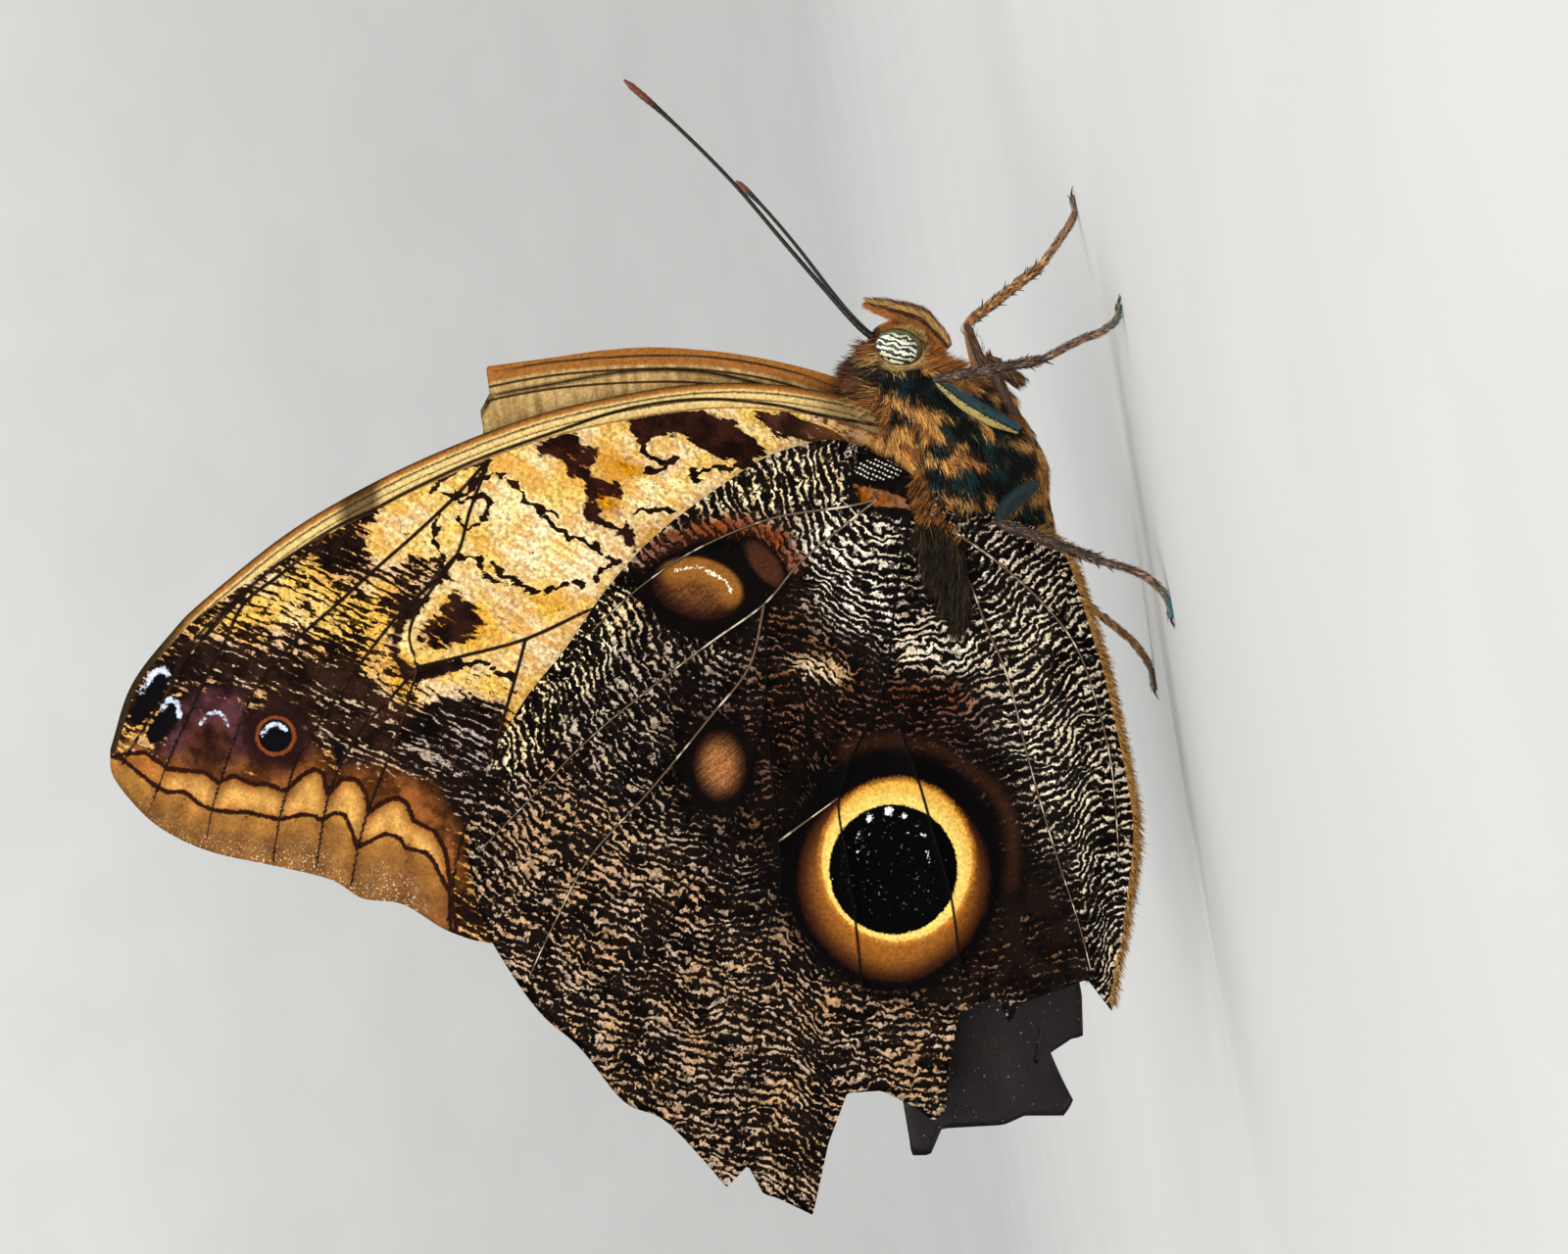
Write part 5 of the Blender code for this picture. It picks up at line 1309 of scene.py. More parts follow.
def clear_of_eyes(p):
    """Zero on the eyes and one beyond them, at plane points."""
    c, s = math.cos(HEAD_TILT), math.sin(HEAD_TILT)
    du, dv = p[:, 0] - EYE_CENTRE[0], p[:, 1] - EYE_CENTRE[1]
    a, b = (du * c - dv * s) / (EYE_RADII[0] + 0.05), (du * s + dv * c) / (EYE_RADII[1] + 0.05)
    return np.where(np.abs(p[:, 2]) > 0.9, smoothstep(0.98, 1.04, np.hypot(a, b)), 1.0)


def along_rod(path, radii, count, seed, reach=(0.0, 1.0)):
    """Random places on a rod through points: roots, outward normals, headings, and the length fractions."""
    rng = np.random.default_rng(seed)
    line = spline(path, 200)
    heading = unit(np.gradient(line, axis=0))
    t = rng.uniform(*reach, count)
    k = np.clip((t * 199).astype(int), 0, 199)
    first = unit(np.cross(heading[k], np.tile((0.2, 0.3, 1.0), (count, 1))))
    second = np.cross(heading[k], first)
    angle = rng.uniform(0, 2 * math.pi, count)[:, None]
    normal = first * np.cos(angle) + second * np.sin(angle)
    radius = np.interp(t, np.linspace(0, 1, len(radii)), radii)[:, None]
    return line[k] + normal * radius, normal, heading[k], t


def inside_outline(outline, count, seed):
    """Random plane places inside a closed outline."""
    rng = np.random.default_rng(seed)
    outline = np.array(outline, float)
    low, high = outline.min(axis=0), outline.max(axis=0)
    points = rng.uniform(low, high, (count * 6, 2))
    return points[within(points, outline)][:count]


def on_wing(plane_points, depth, side, above=0.1):
    """Plane points lifted onto the outer face of a wing, with its normals there."""
    y = side * (depth(plane_points) + above)
    return np.column_stack([plane_points, y]), np.tile((0.0, 0.0, float(side)), (len(y), 1))


# ---- head parts ----
def plane_tube(path, radii, sides, count, flat=1.0, flat_axis=None):
    """A rod along a curve through plane points, its radii spread along it."""
    line = spline(path, count)
    at = np.interp(np.linspace(0, 1, count), np.linspace(0, 1, len(radii)), radii)
    return line, tube(place(line[:, 0], line[:, 1], line[:, 2]), at * MM, sides, flat, flat_axis)


def make_eye(name, side, look):
    """A compound eye: an ellipsoid by latitude and longitude, its own axes kept on its points."""
    rows, columns = 72, 128
    a = (np.arange(rows) + 0.5) / rows * math.pi
    b = np.arange(columns) / columns * 2 * math.pi
    a, b = np.meshgrid(a, b, indexing="ij")
    ball = np.stack([np.sin(a) * np.cos(b), np.sin(a) * np.sin(b), np.cos(a)], axis=-1).reshape(-1, 3)
    ball = np.vstack([ball, [(0, 0, 1), (0, 0, -1)]])
    along, across = ball[:, 0] * EYE_RADII[0], ball[:, 1] * EYE_RADII[1]
    c, s = math.cos(HEAD_TILT), math.sin(HEAD_TILT)
    u = EYE_CENTRE[0] + along * c + across * s
    v = EYE_CENTRE[1] - along * s + across * c
    points = place(u, v, side * (EYE_CENTRE[2] + ball[:, 2] * EYE_RADII[2]))
    total = rows * columns
    item = new_mesh(name, points, closed_faces(points, rows, columns), [look])
    store(item, "eye", ball)
    return item


PALP_PATH = [(5.6, 10.4, 0.95), (4.9, 11.3, 1.0), (3.4, 12.75, 1.05), (1.0, 13.6, 1.05), (-0.3, 13.95, 1.0),
             (-1.3, 14.2, 0.95)]
PALP_RADII = [0.45, 0.56, 0.66, 0.62, 0.4, 0.12]
RIGHT_ANTENNA = [(-0.2, 10.9, -0.8), (-0.8, 11.3, -1.0), (-2.0, 12.2, -1.2), (-4.2, 14.5, -1.6), (-8.0, 18.8, -2.4),
                 (-12.7, 24.2, -3.5), (-17.7, 29.1, -4.5), (-21.8, 32.6, -5.4)]
LEFT_ANTENNA = [(-0.2, 10.9, 0.8), (-0.8, 11.4, 1.4), (-2.2, 13.0, 3.6), (-4.1, 15.6, 7.0), (-6.9, 19.8, 13.0),
                (-9.0, 22.7, 17.0), (-10.8, 25.0, 20.5), (-12.7, 27.1, 24.0)]


def make_palp(name, side, look):
    path = [(u, v, y * side) for u, v, y in PALP_PATH]
    line, (points, faces) = plane_tube(path, PALP_RADII, 20, 60)
    item = new_mesh(name, points, faces, [look])
    store(item, "run", np.concatenate([np.repeat(np.linspace(0, 1, 60), 20), [0, 1]]))
    angle = np.concatenate([np.tile(np.arange(20) / 20 * 2 * math.pi, 60), [0, 0]])
    ring = np.arange(60)[:, None] * 20 + np.arange(20)[None]
    centre = points[ring].mean(axis=1, keepdims=True)
    tall = (points[ring] - centre) @ np.array((math.cos(ROLL), 0, -math.sin(ROLL)))
    size = np.abs(tall).max(axis=1, keepdims=True)
    store(item, "height", np.concatenate([(tall / size).ravel(), [0, 0]]))
    return item


def make_tongue(look):
    """The coiled tongue: a spiral whose radius falls evenly with the angle."""
    t = np.linspace(0, 1, 110)
    angle = math.radians(250) - t * 1.1 * 2 * math.pi
    radius = 0.75 - 0.52 * 1.1 * t
    path = place(4.95 + radius * np.cos(angle), 10.7 + radius * np.sin(angle), np.zeros(110))
    ribs = 1.0 + 0.035 * np.cos(t * 2 * math.pi * 46)
    points, faces = tube(path, 0.21 * (1 - 0.25 * t) * ribs * MM, 18, 1.15, (0, 1, 0))
    item = new_mesh("tongue", points, faces, [look])
    store(item, "run", np.concatenate([np.repeat(t, 18), [0, 1]]))
    return item


def make_antenna(name, path, look):
    """An antenna: a shaft of some forty beads thickening into a club; each bead swells by a sine."""
    count, sides = 460, 12
    line = spline(path, count)
    t = np.linspace(0, 1, count)
    shape = np.interp(t, [0, 0.06, 0.2, 0.6, 0.82, 0.88, 0.93, 0.975, 1.0],
                      [0.36, 0.3, 0.2, 0.17, 0.175, 0.23, 0.31, 0.29, 0.08])
    bead = 1.0 + 0.10 * np.abs(np.sin(t * math.pi * 52)) ** 0.6 - 0.06
    points, faces = tube(place(line[:, 0], line[:, 1], line[:, 2]), shape * bead * MM, sides)
    item = new_mesh(name, points, faces, [look])
    store(item, "run", np.concatenate([np.repeat(t, sides), [0, 1]]))
    return item


# ---- legs ----
LEGS = {
    "midleg_right": [(7.9, -3.4, 9.4), (12.9, -8.5, 15.7), (12.9, -12.0, 7.1),
                     (13.9, -13.0, 3.9), (14.3, -13.6, 2.0), (15.1, -14.1, 0.6), (16.2, -14.4, 0.22)],
    "hindleg_right": [(3.0, -3.6, 8.7), (0.3, -8.5, 12.6), (-4.3, -11.5, 4.8),
                      (-5.6, -12.8, 2.3), (-7.0, -13.6, 0.9), (-8.3, -14.0, 0.24), (-9.8, -14.2, 0.2)],
    "midleg_left": [(8.9, 3.4, 9.4), (18.1, 8.5, 11.6), (22.3, 12.0, 4.1),
                    (24.4, 12.9, 2.0), (25.6, 13.4, 0.9), (26.6, 13.8, 0.24), (28.0, 14.2, 0.2)],
    "hindleg_left": [(3.0, 3.6, 8.7), (-1.2, 8.8, 11.9), (-8.6, 11.7, 4.3),
                     (-11.2, 12.7, 1.9), (-13.0, 13.4, 0.8), (-14.4, 13.9, 0.24), (-16.2, 14.2, 0.2)],
}


def make_leg(name, looks):
    """A walking leg: bowed femur, tibia and a tarsus of five joints as rods, with spines, spurs and two claws."""
    stand = np.array(LEGS[name]) + LEG_SHIFT
    hip, knee, ankle = stand[:3]
    bow = unit(np.cross(knee - hip, ankle - knee))
    arch = unit(np.cross(knee - hip, bow)) * 0.5
    t = np.linspace(0, 1, 44)
    thigh = hip + (knee - hip) * t[:, None] + arch * np.sin(math.pi * t)[:, None]
    shapes = [tube(thigh, np.interp(t, [0, 0.25, 0.6, 0.93, 1], [0.45, 0.82, 0.78, 0.45, 0.28]), 20, 0.85, bow)]
    part, where = [np.full(44 * 20 + 2, 0.0)], [np.concatenate([np.repeat(t, 20), [0, 1]])]
    t = np.linspace(-0.03, 1, 50)
    shin = knee + (ankle - knee) * t[:, None]
    shapes.append(tube(shin, np.interp(t, [-0.03, 0.04, 0.35, 0.75, 1], [0.22, 0.4, 0.44, 0.4, 0.36]), 20))
    part.append(np.full(50 * 20 + 2, 1.0))
    where.append(np.concatenate([np.repeat(t, 20), [0, 1]]))
    line = spline(stand[2:], 130)
    t = np.linspace(0, 1, 130)
    joint = np.array([0.0, 0.46, 0.64, 0.78, 0.89, 1.0])
    gap = np.abs(t[:, None] - joint[None, 1:5]).min(axis=1)
    thick = 0.31 * (1 - 0.15 * t) * (0.74 + 0.26 * smoothstep(0.0, 0.035, gap))
    line[:, 2] = np.maximum(line[:, 2], thick * 0.72 + 0.01)
    shapes.append(tube(line, thick, 18, 1.0, (0, 0, 1)))
    part.append(np.full(130 * 18 + 2, 2.0))
    where.append(np.concatenate([np.repeat(t, 18), [0, 1]]))
    rng = np.random.default_rng(len(name) + int(abs(stand[0, 0]) * 10))
    along = unit(ankle - knee)
    for i in range(26):
        t0 = 0.1 + 0.88 * i / 26
        turn = i * 2.4 + rng.uniform(-0.4, 0.4)
        out = unit(np.cross(bow, along) * math.cos(turn) + bow * math.sin(turn))
        root = knee + (ankle - knee) * t0 + out * 0.3
        tip = root + unit(out * 0.75 + along * 0.8) * rng.uniform(0.65, 1.0)
        run = np.linspace(0, 1, 5)[:, None]
        spine = root + (tip - root) * run + along * 0.12 * (run * (1 - run))
        shapes.append(tube(spine, [0.09, 0.075, 0.055, 0.035, 0.01], 6))
        part.append(np.full(32, 3.0))
        where.append(np.concatenate([np.repeat(run[:, 0], 6), [0, 1]]))
    for side in (-1, 1):
        tip = ankle + unit(along * 0.9 + bow * 0.55 * side) * 1.35
        run = np.linspace(0, 1, 7)[:, None]
        shapes.append(tube(ankle + (tip - ankle) * run, np.linspace(0.16, 0.015, 7), 8))
        part.append(np.full(58, 3.0))
        where.append(np.concatenate([np.repeat(run[:, 0], 8), [0, 1]]))
    for i in range(34):
        t0 = rng.uniform(0.05, 0.97)
        k = int(t0 * 129)
        out = unit(np.array((rng.normal(), rng.normal(), rng.normal() * 0.6)))
        ahead = unit(line[min(k + 2, 129)] - line[k])
        tip = line[k] + unit(out * 0.6 + ahead * 0.8) * 0.6
        tip[2] = max(tip[2], 0.06)
        run = np.linspace(0, 1, 3)[:, None]
        shapes.append(tube(line[k] + (tip - line[k]) * run, [0.05, 0.035, 0.008], 5))
        part.append(np.full(17, 3.0))
        where.append(np.concatenate([np.repeat(run[:, 0], 5), [0, 1]]))
    points, faces, _ = merged(shapes)
    item = new_mesh(name + "_limb", points * MM, faces, [looks[0]])
    part, where = np.concatenate(part), np.concatenate(where)
    centre = hip + (knee - hip) * np.clip(where, 0, 1)[:, None]
    axis = unit(knee - hip)
    pale = unit(np.cross(axis, (0.0, 1.0, 0.0)))
    pale = pale * (-np.sign(pale[0]) if name.startswith("mid") else 0.0)
    under = (points - centre - arch * np.sin(math.pi * where)[:, None]) @ pale
    if not name.startswith("mid"):
        under = under - 1.0
    store(item, "leg", np.stack([part, where, under], axis=1))
    ahead = unit(line[-1] - line[-4])
    sideways = unit(np.cross(ahead, (0, 0, 1.0)))
    shapes = []
    for side in (-1, 1):
        t = np.linspace(0, 1, 14)[:, None]
        root = line[-1] - ahead * 0.1
        curve = (root + ahead * 0.95 * t + sideways * side * (0.12 + 0.42 * t)
                 + np.array((0, 0, 1.0)) * (0.16 * np.sin(math.pi * t)))
        curve[:, 2] = np.maximum(curve[:, 2] * (1 - t[:, 0] * 0.75), 0.06)
        shapes.append(tube(curve, np.linspace(0.13, 0.02, 14), 10))
    points, faces, _ = merged(shapes)
    claws = new_mesh(name + "_claws", points * MM, faces, [looks[1]])
    return item, claws


def make_foreleg(name, side, look):
    """A folded, brush-like foreleg: two rods with a knee."""
    hip, knee, toe = (np.array((u, v, y * side))
                      for u, v, y in ((11.0, 4.6, 1.9), (9.0, 9.3, 2.1), (11.6, 7.6, 2.5)))
    t = np.linspace(0, 1, 30)[:, None]
    upper, lower = hip + (knee - hip) * t, knee + (toe - knee) * t
    shapes = [tube(place(*upper.T), np.interp(t[:, 0], [0, 0.4, 0.9, 1], [0.5, 0.55, 0.5, 0.25]) * MM, 18),
              tube(place(*lower.T), np.interp(t[:, 0], [0, 0.3, 0.8, 1], [0.25, 0.38, 0.32, 0.1]) * MM, 18)]
    points, faces, owner = merged(shapes)
    item = new_mesh(name + "_limb", points, faces, [look])
    run = np.concatenate([np.repeat(t[:, 0], 18), [0, 1]] * 2)
    store(item, "leg", np.stack([owner * 0.0 + 4, run, run * 0], axis=1))
    return item, (upper, lower)


# ---- body materials ----
def coat_look(name, roughness, streaks):
    """Hair or scales: the colour kept on the points with fine streaks along the body."""
    look, n, shader = new_look(name, **{"Specular IOR Level": 0.12, "Sheen Weight": 0.03})
    place_ = n.place_mm((1.0, 1.0, 0.35))
    fine = n.noise(place_, streaks, 2.0)
    n.feed(shader.inputs["Base Color"], n.tint(n.shade("coat_colour"), n.step(fine, 0.3, 0.7, 0.8, 1.15)))
    n.feed(shader.inputs["Roughness"], n.step(fine, 0.3, 0.7, roughness, roughness + 0.15))
    n.feed(shader.inputs["Normal"], n.bump(fine, 0.3, 0.00008))
    return look


def eye_look():
    """Compound eye: wavy pale and black bands inside an olive border with a dark rim, over fine facets."""
    look, n, shader = new_look("eye_facets",
                               **{"Coat Weight": 0.3, "Coat Roughness": 0.15, "Specular IOR Level": 0.5})
    along, across, out = n.field("eye")
    at = n.place_mm()
    warp = n.minus(n.noise(at, 1.7, 2.0, 0.6), 0.5)
    level = n.times_plus(warp, 0.8, n.times(across, 1.56))
    level = n.times_plus(along, 0.1, level)
    wave = n.cosine(n.times(level, 2 * math.pi / 0.47))
    pale = n.wash((248, 250, 230), (206, 208, 160), n.noise(at, 1.2, 1.0), 0.4, 0.6)
    bands = n.wash((10, 11, 8), pale, wave, -0.12, 0.12)
    far = n.plus(n.times(along, along), n.times(across, across))
    shifted = n.plus(across, 0.16)
    inner = n.math("SQRT", n.plus(n.times(n.plus(along, 0.1), n.plus(along, 0.1)),
                                  n.times(shifted, shifted)))
    border = n.wash((98, 94, 40), (50, 48, 22), n.noise(at, 1.4, 2.0), 0.35, 0.65)
    shade = n.wash(bands, border, n.times_plus(warp, 0.12, inner), 0.83, 0.9)
    facet = n.add("ShaderNodeTexVoronoi", {"Vector": at, "Scale": 15.0})
    shade = n.tint(shade, n.step(facet.outputs["Distance"], 0.25, 0.7, 1.1, 0.7))
    shade = n.wash(shade, (16, 11, 7), far, 0.86, 0.95)
    n.feed(shader.inputs["Base Color"], shade)
    n.feed(shader.inputs["Roughness"], n.step(facet.outputs["Distance"], 0.0, 0.6, 0.3, 0.5))
    edge = n.minus(1.0, facet.outputs["Distance"])
    n.feed(shader.inputs["Normal"], n.bump(edge, 0.35, 0.00004))
    return look


def palp_look():
    look, n, shader = new_look("palp_scales", **{"Specular IOR Level": 0.3})
    height = n.amount("height")
    streak = n.noise(n.place_mm((1.0, 1.0, 1.0)), 5.0, 3.0)
    level = n.times_plus(n.minus(streak, 0.5), 0.9, height)
    shade = n.wash((196, 142, 82), (92, 52, 30), level, -0.85, -0.3)
    shade = n.wash(shade, (150, 98, 54), level, 0.1, 0.7)
    n.feed(shader.inputs["Base Color"], shade)
    shader.inputs["Roughness"].default_value = 0.6
    n.feed(shader.inputs["Normal"], n.bump(streak, 0.5, 0.0001))
    return look


def horn_look(name, shaft, tip, start):
    """Dark horn, fading along its length into another colour, with a fine grain."""
    look, n, shader = new_look(name, **{"Specular IOR Level": 0.3})
    run = n.amount("run")
    grain = n.noise(n.place_mm(), 7.0, 2.0)
    shade = n.wash(shaft, tip, run, start, start + 0.06)
    n.feed(shader.inputs["Base Color"], n.tint(shade, n.step(grain, 0.3, 0.7, 0.7, 1.35)))
    n.feed(shader.inputs["Roughness"], n.step(grain, 0.3, 0.7, 0.28, 0.5))
    n.feed(shader.inputs["Normal"], n.bump(grain, 0.25, 0.00005))
    return look


def leg_look(name, femur, stripe, shin, light, foot):
    """Leg scales: femur with a pale stripe along one side, mottled tibia, tarsus coloured towards its end."""
    look, n, shader = new_look(name, **{"Specular IOR Level": 0.35})
    part, where, under = n.field("leg")
    grain = n.noise(n.place_mm(), 6.0, 3.0)
    patch = n.noise(n.place_mm(), 1.6, 3.0)
    brown = n.wash(shin, light, patch, 0.42, 0.62)
    side = n.times_plus(n.minus(grain, 0.5), 0.3, under)
    thigh = n.wash(femur, (12, 18, 20), side, -0.7, -0.3, 0.75, 0.0)
    thigh = n.wash(thigh, stripe, side, 0.13, 0.24)
    thigh = n.wash(thigh, n.mix(n.step(side, 0.16, 0.24), (30, 26, 18), thigh), side, 0.0, 0.1)
    end = n.wash(brown, foot, n.times_plus(patch, 0.3, where), 0.72, 0.98)
    shade = n.wash(thigh, brown, part, 0.45, 0.55)
    shade = n.wash(shade, end, part, 1.45, 1.55)
    shade = n.wash(shade, (44, 28, 20), part, 2.45, 2.55)
    shade = n.wash(shade, (74, 50, 36), part, 3.45, 3.55)
    toned = n.tint(shade, n.step(grain, 0.3, 0.7, 0.6, 1.35))
    n.feed(shader.inputs["Base Color"], toned)
    n.feed(shader.inputs["Roughness"], n.step(grain, 0.3, 0.7, 0.4, 0.62))
    n.feed(shader.inputs["Normal"], n.bump(grain, 0.5, 0.00008))
    return look


# ---- settings ----
class ButterflyWings(bpy.types.PropertyGroup):
    membrane: FloatProperty(name="Membrane", description="Thickness of a wing between its veins", default=0.22 * MM,
                            subtype="DISTANCE", unit="LENGTH")
    rim_points: IntProperty(name="Rim points", description="Points round the margin of a right wing", default=440)
    rings: IntProperty(name="Rings", description="Rings of points from a wing's middle to its margin", default=90)


class ButterflyCoat(bpy.types.PropertyGroup):
    thorax_tufts: IntProperty(name="Thorax tufts", description="Hair tufts on the thorax", default=10200)
    hair_length: FloatProperty(name="Hair length", description="Length of the thorax hair", default=1.3 * MM,
                               subtype="DISTANCE", unit="LENGTH")
    seed: IntProperty(name="Seed", description="Start of the random numbers", default=7)


class ButterflyStage(bpy.types.PropertyGroup):
    camera_place: FloatVectorProperty(name="Camera place", description="Where the camera stands",
                                      default=(0.0010, -0.3754, 0.03164), subtype="TRANSLATION", unit="LENGTH")
    lens: FloatProperty(name="Lens", description="Focal length in millimetres", default=100.0)


def settle(piece, *solids):
    """Put a piece on the one body, in place of the solids named."""
    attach(piece, "root")
    if solids:
        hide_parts(*solids)


# ---- operators ----
class BUTTERFLY_OT_wings(bpy.types.Operator):
    """Build the four wings over their solids"""
    bl_idname = "butterfly.wings"
    bl_label = "Wings"

    def execute(self, context):
        settings = context.scene.butterfly_wings
        grain, stripes = scale_grain(), ripple()
        fore = [fore_outer_look(grain, stripes), fore_inner_look(grain),
                vein_look("forewing_veins", (26, 14, 9), (64, 42, 26))]
        hind = [hind_outer_look(grain, stripes), hind_inner_look(grain),
                vein_look("hindwing_veins", (3, 2, 2), (12, 7, 5)),
                vein_look("hindwing_pale_veins", (104, 84, 68), (214, 200, 178))]
        full = settings.rim_points, settings.rings
        membrane = settings.membrane / MM
        for solid, side, middle, grid, turn, stretches in (
                ("forewing_right", RIGHT, (-24.0, -8.0), full, 0.0,
                 [("smooth", FORE_COSTA), ("smooth", FORE_TERMEN), ("smooth", FORE_INNER)]),
                ("forewing_left", LEFT, (-20.0, -3.0), (330, 62), LEFT_FORE_TURN,
                 [("smooth", LEFT_FORE_COSTA), ("torn", LEFT_FORE_BREAK), ("smooth", LEFT_FORE_INNER)])):
            piece, flat, index = make_wing(solid + "_skin", stretches, middle, fore_depth, side, FORE_VEINS,
                                           *grid, fore, membrane, turn)
            mark_fore(piece, flat, index, turn)
            settle(piece, solid)
        for solid, side, grid, stretches in (
                ("hindwing_right", RIGHT, full,
                 [("smooth", HIND_LEADING), ("torn", HIND_TORN), ("smooth", HIND_INNER)]),
                ("hindwing_left", LEFT, (360, 62),
                 [("smooth", LEFT_HIND_LEADING), ("torn", LEFT_HIND_TORN), ("smooth", LEFT_HIND_INNER)])):
            piece, flat, index = make_wing(solid + "_skin", stretches, (2.5, -8.0), hind_depth, side, HIND_VEINS,
                                           *grid, hind, membrane, pale_veins=HIND_PALE_VEINS)
            mark_hind(piece, flat, index)
            settle(piece, solid)
        return {"FINISHED"}


class BUTTERFLY_OT_body(bpy.types.Operator):
    """Build the skin of head, thorax and abdomen"""
    bl_idname = "butterfly.body"
    bl_label = "Body skin"

    def execute(self, context):
        skin = make_body_skin(coat_look("body_skin_scales", 0.6, 3.2))
        settle(skin, "head", "thorax", "abdomen")
        return {"FINISHED"}


class BUTTERFLY_OT_coat(bpy.types.Operator):
    """Cover the body with tufts of hair and scales"""
    bl_idname = "butterfly.coat"
    bl_label = "Coat"

    def execute(self, context):
        settings = context.scene.butterfly_coat
        look = coat_look("body_hair", 0.5, 5.0)
        long, seed = settings.hair_length / MM, settings.seed

        def on_thorax(p):
            return smoothstep(8.9, 8.2, p[:, 1]) * smoothstep(-9.5, -6.5, p[:, 1])

        def on_head(p):
            return smoothstep(8.2, 8.9, p[:, 1]) * clear_of_eyes(p)

        def on_nape(p):
            return smoothstep(0.3, -0.8, p[:, 0]) * smoothstep(4.6, 6.0, p[:, 1]) * smoothstep(11.6, 10.4, p[:, 1])

        def on_chin(p):
            return np.exp(-((p[:, 0] - 4.3) ** 2 + (p[:, 1] - 9.7) ** 2) / 0.9) * clear_of_eyes(p)

        def on_abdomen(p):
            return smoothstep(-6.5, -9.5, p[:, 1])

        def wander(at, size, number):
            return np.stack([waves(at, size, number + k) for k in range(3)], axis=1)

        for number in range(3):
            at, normal, flat = scatter(settings.thorax_tufts, seed + number, on_thorax)
            lie = np.array((0.3, -1.0, 0.0)) + 0.5 * wander(at, 3.4, 71)
            piece = tufts(f"thorax_hair_{number + 1}", at, normal, lie, long, 0.09, 0.5, body_shade(at), look, flat,
                          seed + number)
            settle(piece)
        at, normal, flat = scatter(9000, seed + 5, on_head)
        lie = np.stack([0.5 - 0.2 * (at[:, 1] - 10.0), -0.3 + 0.5 * smoothstep(0.5, 3.0, at[:, 0]),
                        0.1 * at[:, 2]], axis=1)
        face = smoothstep(1.8, 3.2, at[:, 0]) * smoothstep(9.0, 10.0, at[:, 1])
        piece = tufts("head_hair", at, normal, lie + 0.35 * wander(at, 1.6, 81), 0.55 + 0.5 * face, 0.075,
                      0.6 + 0.3 * face, body_shade(at), look, flat, seed + 5, sink=0.06)
        settle(piece)
        at, normal, flat = scatter(1800, seed + 9, on_chin)
        lie = np.array((1.0, 0.25, 0.0)) + 0.35 * wander(at, 1.2, 95)
        shade = blend((224, 150, 74), (150, 84, 38), np.random.default_rng(seed).random(len(at)))
        piece = tufts("chin_hair", at, normal, lie, 1.9, 0.09, 0.75, shade, look, flat, seed + 9, curl=0.1)
        settle(piece)
        at, normal, flat = scatter(1700, seed + 8, on_nape)
        lie = np.array((-0.8, -0.15, 0.0)) + 0.4 * wander(at, 1.5, 91)
        piece = tufts("nape_hair", at, normal, lie, 1.9, 0.13, 1.0, 1.3 * body_shade(at), look, flat, seed + 8,
                      curl=0.15, tip=0.4)
        settle(piece)
        at, normal, flat = scatter(8000, seed + 6, on_abdomen)
        lie = np.array((0.3, -1.0, 0.0)) + 0.15 * wander(at, 3.0, 84)
        piece = tufts("abdomen_hair", at, normal, lie, 0.7, 0.2, 0.2, body_shade(at), look, flat, seed + 6, sink=0.05)
        settle(piece)
        self.wing_hair(look, seed)
        return {"FINISHED"}

    def wing_hair(self, look, seed):
        """Hair over the wing roots, the dark wedge of the hindwings and the fringe of their inner margins."""
        for name, side in (("right", RIGHT), ("left", LEFT)):
            rng = np.random.default_rng(seed + side + 20)
            sets = []
            flat = inside_outline(HAIR_WEDGE, 2300, seed + 30)
            at, normal = on_wing(flat, hind_depth, side)
            shade = blend((13, 10, 8), (98, 78, 50), rng.random(len(at)) ** 4)
            lie = np.column_stack([0.25 + 0.03 * flat[:, 1], -1.0 + 0 * flat[:, 0], 0 * flat[:, 0]])
            sets.append((at, normal, lie, 2.1, 0.07, 0.3, shade))
            inner = HIND_INNER if side == RIGHT else LEFT_HIND_INNER
            rim = spline(inner, 900)[20:-60]
            step = unit(np.gradient(rim, axis=0))
            out = np.stack([step[:, 1], -step[:, 0]], axis=1)
            for row in range(3):
                flat = rim - out * (0.12 + 0.22 * row)
                at, normal = on_wing(flat, hind_depth, side, -0.1 + 0.08 * row)
                shade = blend((126, 84, 36), (206, 152, 78), rng.random(len(at)))
                lie = np.column_stack([out * 0.7 - step * 0.75, 0 * out[:, 0]])
                sets.append((at, normal, lie, 0.95, 0.07, 0.15, shade))
            for outline, depth, long in ((FORE_BASE_HAIR, fore_depth, 1.0), (HIND_BASE_HAIR, hind_depth, 1.1)):
                flat = inside_outline(outline, 500, seed + 31)
                at, normal = on_wing(flat, depth, side, 0.15)
                shade = blend((44, 27, 16), (186, 116, 50), rng.random(len(at)) ** 1.5)
                lie = np.tile((-0.6, -0.8, 0.0), (len(at), 1))
                sets.append((at, normal, lie, long, 0.09, 0.35, shade))
            at, normal, lie = (np.vstack([entry[k] for entry in sets]) for k in range(3))
            long, wide, lift = (np.concatenate([np.full(len(entry[0]), entry[k]) for entry in sets]) for k in (3, 4, 5))
            shade = np.vstack([entry[6] for entry in sets])
            unwrapped = np.stack([(at[:, 0] + 70) / 100, (at[:, 1] + 70) / 100], axis=1)
            piece = tufts(f"wing_hair_{name}", at, normal, lie, long, wide, lift, shade, look, unwrapped,
                          seed + 32, sink=0.03)
            settle(piece)


